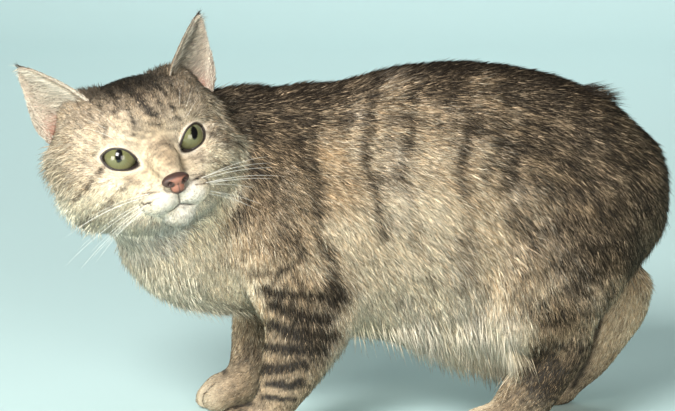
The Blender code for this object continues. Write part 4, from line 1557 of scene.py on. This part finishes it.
class CAT_OT_ears(bpy.types.Operator):
    """Makes both ears: skin with a dark edge, short fur outside and fine pale hair inside"""

    bl_idname = "cat.ears"
    bl_label = "Ears"

    def execute(self, context):
        material = ear_material()
        for side, name in ((1, "ear_left"), (-1, "ear_right")):
            mesh = ear_mesh(name, side)
            up, over, inward, _, _ = ear_places(points_of(mesh), normals_of(mesh), side)
            edge = step(np.abs(over) / ear_half_width(up), 0.90, 1.0) + step(up, 0.93, 1.0)
            put_values(
                mesh,
                outside=step(inward, 0.15, -0.15),
                # painted shade in the deep of the ear at its root
                pocket=ear_pocket(up, over) * step(inward, 0.0, 0.3) * 0.85,
                edge=np.clip(edge, 0, 1) * 0.75,
                dark=0.35 + 0.4 * step(up, 0.6, 1.0),
                pale=0.25,
                warm=0.3,
                black=step(up, 0.88, 1.0) * 0.8,
            )
            chart_map(mesh, np.zeros(len(up), int))
            piece(name + "_skin", mesh, material, (name,))
            ear_fur(name, side, mesh)
        return {"FINISHED"}


def ear_fur(name, side, mesh):
    """Short fur on the back of an ear and along its edges, and long pale hairs inside it."""
    rng = np.random.default_rng(sizes().seed + 40 + side)
    roots = Roots(mesh, rng, np.full(len(mesh.vertices), EAR_HAIRS * sizes().coat_share))
    up, over, inward, across, axis = ear_places(roots.place, roots.normal, side)
    edge = np.abs(over) / ear_half_width(up) > 0.82
    inside = (inward > 0.1) & ~edge
    share = np.where(inside, 0.62 * (1 - 0.75 * ear_pocket(up, over)), 1.0)
    kept = rng.random(len(up)) < share
    roots.keep(kept)
    up, over, inward, edge, inside = (item[kept] for item in (up, over, inward, edge, inside))
    way = np.where(
        inside[:, None],
        axis * 0.45 + across * np.where(over < 4, 0.95, 0.35)[:, None] + (0, -0.25, 0),
        axis + across * (0.05 * np.sign(over) * edge)[:, None],
    )
    way = (way * (side, 1, 1)) @ np.array(HEAD_TURN).T
    way -= roots.normal * (way * roots.normal).sum(axis=1, keepdims=True) * 0.9
    way /= np.linalg.norm(way, axis=1, keepdims=True)
    outer = 3.4 - 0.8 * edge + 3.5 * step(up, 0.92, 1.0)
    inner = 7.5 + 5 * step(-over, -8, 10)
    inner *= 1 - 0.5 * step(over / ear_half_width(up), 0.3, 0.9) - 0.25 * step(up, 0.6, 0.9)
    length = np.where(inside, inner, outer) * MM
    light = inside | (edge & (inward > -0.2))
    marks = [
        np.where(light, 0.02, 0.35 + 0.4 * step(up, 0.55, 1.0)) + 0.15 * rng.random(len(up)),
        np.where(light, rng.uniform(0.6, 1.0, len(up)), 0.20),
        np.where(light, 0.12, 0.25),
        step(up, 0.90, 1.0) * ~inside,
    ]
    tone = tones_for(len(up), rng, 0, 0.8)
    lift = np.radians(np.where(inside, 20, 9))
    thick = np.where(inside, 0.20, 0.32) * MM
    corners = slivers(roots, way, length, lift, thick, rng, sink=EAR_SINK_OF_HAIR)
    coat_piece(name + "_fur", roots, corners, np.stack(marks, axis=1), tone, SLIVER)


# Each whisker in the head's frame: x, y and z of its root, the way it points, and its length
WHISKERS = (
    (11, -22, -27, 1.0, 0.10, 0.16, 50),
    (14, -20, -28, 1.0, 0.25, 0.10, 58),
    (17, -17, -28, 1.0, 0.40, 0.02, 60),
    (11, -23, -30, 1.0, 0.15, -0.06, 54),
    (14, -20, -31, 1.0, 0.30, -0.10, 64),
    (17, -17, -31, 1.0, 0.45, -0.16, 66),
    (20, -13, -31, 0.9, 0.60, -0.14, 58),
    (12, -22, -34, 0.9, 0.20, -0.34, 44),
    (15, -19, -34, 0.95, 0.35, -0.38, 54),
    (18, -15, -34, 0.9, 0.55, -0.42, 50),
)
BROW_HAIRS = (
    (20, -4, 15, 0.5, 0.15, 1.0, 24),
    (23, -3, 15, 0.7, 0.25, 0.9, 27),
    (26, -2, 14, 0.9, 0.35, 0.8, 22),
)
WHISKER_RADIUS, BROW_RADIUS = 0.20 * MM, 0.13 * MM


def tapered_line(points, radius):
    """Corners and faces of a thin four-sided hair along some points, ending in one tip."""
    verts, faces = [], [(0, 2, 1), (0, 3, 2)]
    last = len(points) - 2
    for i, along in enumerate(np.gradient(points, axis=0)[:-1]):
        tangent = Vector(along).normalized()
        side = tangent.cross(Vector((0.1, 0.2, 1))).normalized()
        across = side.cross(tangent)
        size = radius * (1 - i / len(points)) ** 0.8
        for k in range(4):
            turn = pi / 2 * k
            verts.append(points[i] + np.array(side * cos(turn) + across * sin(turn)) * size)
            a, n = 4 * i + k, 4 * i + (k + 1) % 4
            faces += [(a, n, 4 * i + 4)] if i == last else [(a, n, n + 4), (a, n + 4, a + 4)]
    return verts + [points[-1]], faces


class CAT_OT_whiskers(bpy.types.Operator):
    """Sets the whiskers in the lip pads and a few long hairs over each eye"""

    bl_idname = "cat.whiskers"
    bl_label = "Whiskers"

    def execute(self, context):
        rng = np.random.default_rng(sizes().seed)
        t = np.linspace(0, 1, 15)[:, None]
        all_verts, all_faces = [], []
        for x, y, z, out, back, up, length in WHISKERS + BROW_HAIRS:
            on_lip = z < 0
            for side in (-1, 1):
                way = np.array((side * out, back, up)) + rng.normal(0, 0.09, 3)
                way /= np.linalg.norm(way)
                droop = np.array((0, 0.30, -0.24 if on_lip else -0.10)) * length
                reach = length * (1.3 if side > 0 and on_lip else 1.0)
                line = np.array((side * x, y + 1.5, z)) + way * reach * t + droop * t**2.2
                radius = WHISKER_RADIUS if on_lip else BROW_RADIUS
                verts, faces = tapered_line(out_of_head(line), radius)
                all_faces += [tuple(v + len(all_verts) for v in face) for face in faces]
                all_verts += verts
        mesh = mesh_of("whiskers", np.array(all_verts), np.array(all_faces))
        mesh.shade_smooth()
        material = mottled_material("whisker_hair", 10 * MM, (0.92, 0.90, 0.84), (0.78, 0.75, 0.66), 0.35)
        piece("whiskers", mesh, material)
        return {"FINISHED"}


# The floor in metres: half its width, where it starts and begins to curve up, the curve, the top
FLOOR_HALF, FLOOR_FRONT, CURVE_START, CURVE_RADIUS, WALL_TOP = 8.0, -6.0, 2.2, 1.2, 6.0
CAT_MIDDLE = (-0.02, 0, 0.15)
WALL_BEHIND = (0.4, 3.2, 0.8)
# Soft lights: name, place, size, power in watts, what they look at, colour
LIGHTS = (
    ("key", (-0.9, -2.0, 1.65), 0.9, 84, CAT_MIDDLE, (1.0, 0.975, 0.94)),
    ("low_fill", (-1.9, -1.5, 0.32), 1.0, 50, CAT_MIDDLE, (1.0, 0.95, 0.87)),
    ("right_fill", (0.9, -2.5, 0.7), 1.3, 42, CAT_MIDDLE, (1.0, 0.95, 0.88)),
    ("top", (0.1, -0.2, 2.2), 1.2, 4, CAT_MIDDLE, (1, 1, 1)),
    ("backdrop", (0.4, 1.9, 2.3), 2.0, 34, WALL_BEHIND, (1, 1, 1)),
)
SKY_COLOUR, SKY_STRENGTH = (1.0, 0.97, 0.92, 1), 0.06


def curved_floor():
    """A floor with a wall behind it and a curve between them."""
    turns = np.linspace(0.1, pi / 2, 14)
    profile = [(FLOOR_FRONT, 0.0), (CURVE_START, 0.0)]
    profile += [(CURVE_START + CURVE_RADIUS * sin(a), CURVE_RADIUS * (1 - cos(a))) for a in turns]
    profile += [(CURVE_START + CURVE_RADIUS, WALL_TOP)]
    verts = [(x, y, z) for y, z in profile for x in (-FLOOR_HALF, FLOOR_HALF)]
    faces = [(2 * i, 2 * i + 1, 2 * i + 3, 2 * i + 2) for i in range(len(profile) - 1)]
    mesh = mesh_of("floor", np.array(verts), np.array(faces))
    mesh.shade_smooth()
    room = colours().room
    mesh.materials.append(mottled_material("pale_room", 0.8, room, shaded(room, 0.97), 0.9))
    return mesh


class CAT_OT_stage(bpy.types.Operator):
    """Sets a plain pale floor that curves up behind, soft studio lights and the photograph's camera"""

    bl_idname = "cat.stage"
    bl_label = "Stage"

    def execute(self, context):
        floor = placed("floor", curved_floor())
        for name, place, size, power, target, colour in LIGHTS:
            light = bpy.data.lights.new(name, "AREA")
            light.energy, light.size, light.color = power, size, colour
            made = placed(name, light)
            made.location = place
            made.rotation_euler = (Vector(target) - made.location).to_track_quat("-Z", "Y").to_euler()
        world = bpy.data.worlds.new("studio")
        context.scene.world = world
        world.use_nodes = True
        sky = world.node_tree.nodes["Background"]
        sky.inputs["Color"].default_value = SKY_COLOUR
        sky.inputs["Strength"].default_value = SKY_STRENGTH
        camera = placed("photo_camera", bpy.data.cameras.new("photo_camera"))
        camera.location, look = camera_place()
        camera.rotation_euler = look.to_track_quat("-Z", "Y").to_euler()
        camera.data.lens = CAMERA_LENS
        camera.data.sensor_width = SENSOR
        camera.data.clip_start = 0.05
        context.scene.camera = camera
        context.scene.view_settings.view_transform = "Standard"
        return {"FINISHED"}


class CAT_PT_panel(bpy.types.Panel):
    bl_label = "Manx Cat"
    bl_space_type = "VIEW_3D"
    bl_region_type = "UI"
    bl_category = "Manx Cat"

    def draw(self, context):
        for operator in OPERATORS:
            self.layout.operator(operator.bl_idname)
        for group in (context.scene.cat_sizes, context.scene.cat_colours):
            for name in group.__annotations__:
                self.layout.prop(group, name)


OPERATORS = (
    CAT_OT_skin,
    CAT_OT_eyes,
    CAT_OT_nose,
    CAT_OT_ears,
    CAT_OT_coat,
    CAT_OT_long_coat,
    CAT_OT_whiskers,
    CAT_OT_stage,
)
CLASSES = (CatColours, CatSizes, *OPERATORS, CAT_PT_panel)


def register():
    for item in CLASSES:
        bpy.utils.register_class(item)
    bpy.types.Scene.cat_colours = PointerProperty(type=CatColours)
    bpy.types.Scene.cat_sizes = PointerProperty(type=CatSizes)


def unregister():
    del bpy.types.Scene.cat_sizes
    del bpy.types.Scene.cat_colours
    for item in reversed(CLASSES):
        bpy.utils.unregister_class(item)


def main():
    register()
    bpy.ops.cat.skin()
    bpy.ops.cat.eyes()
    bpy.ops.cat.nose()
    bpy.ops.cat.ears()
    bpy.ops.cat.coat()
    bpy.ops.cat.long_coat()
    bpy.ops.cat.whiskers()
    bpy.ops.cat.stage()


if __name__ == "__main__":
    main()
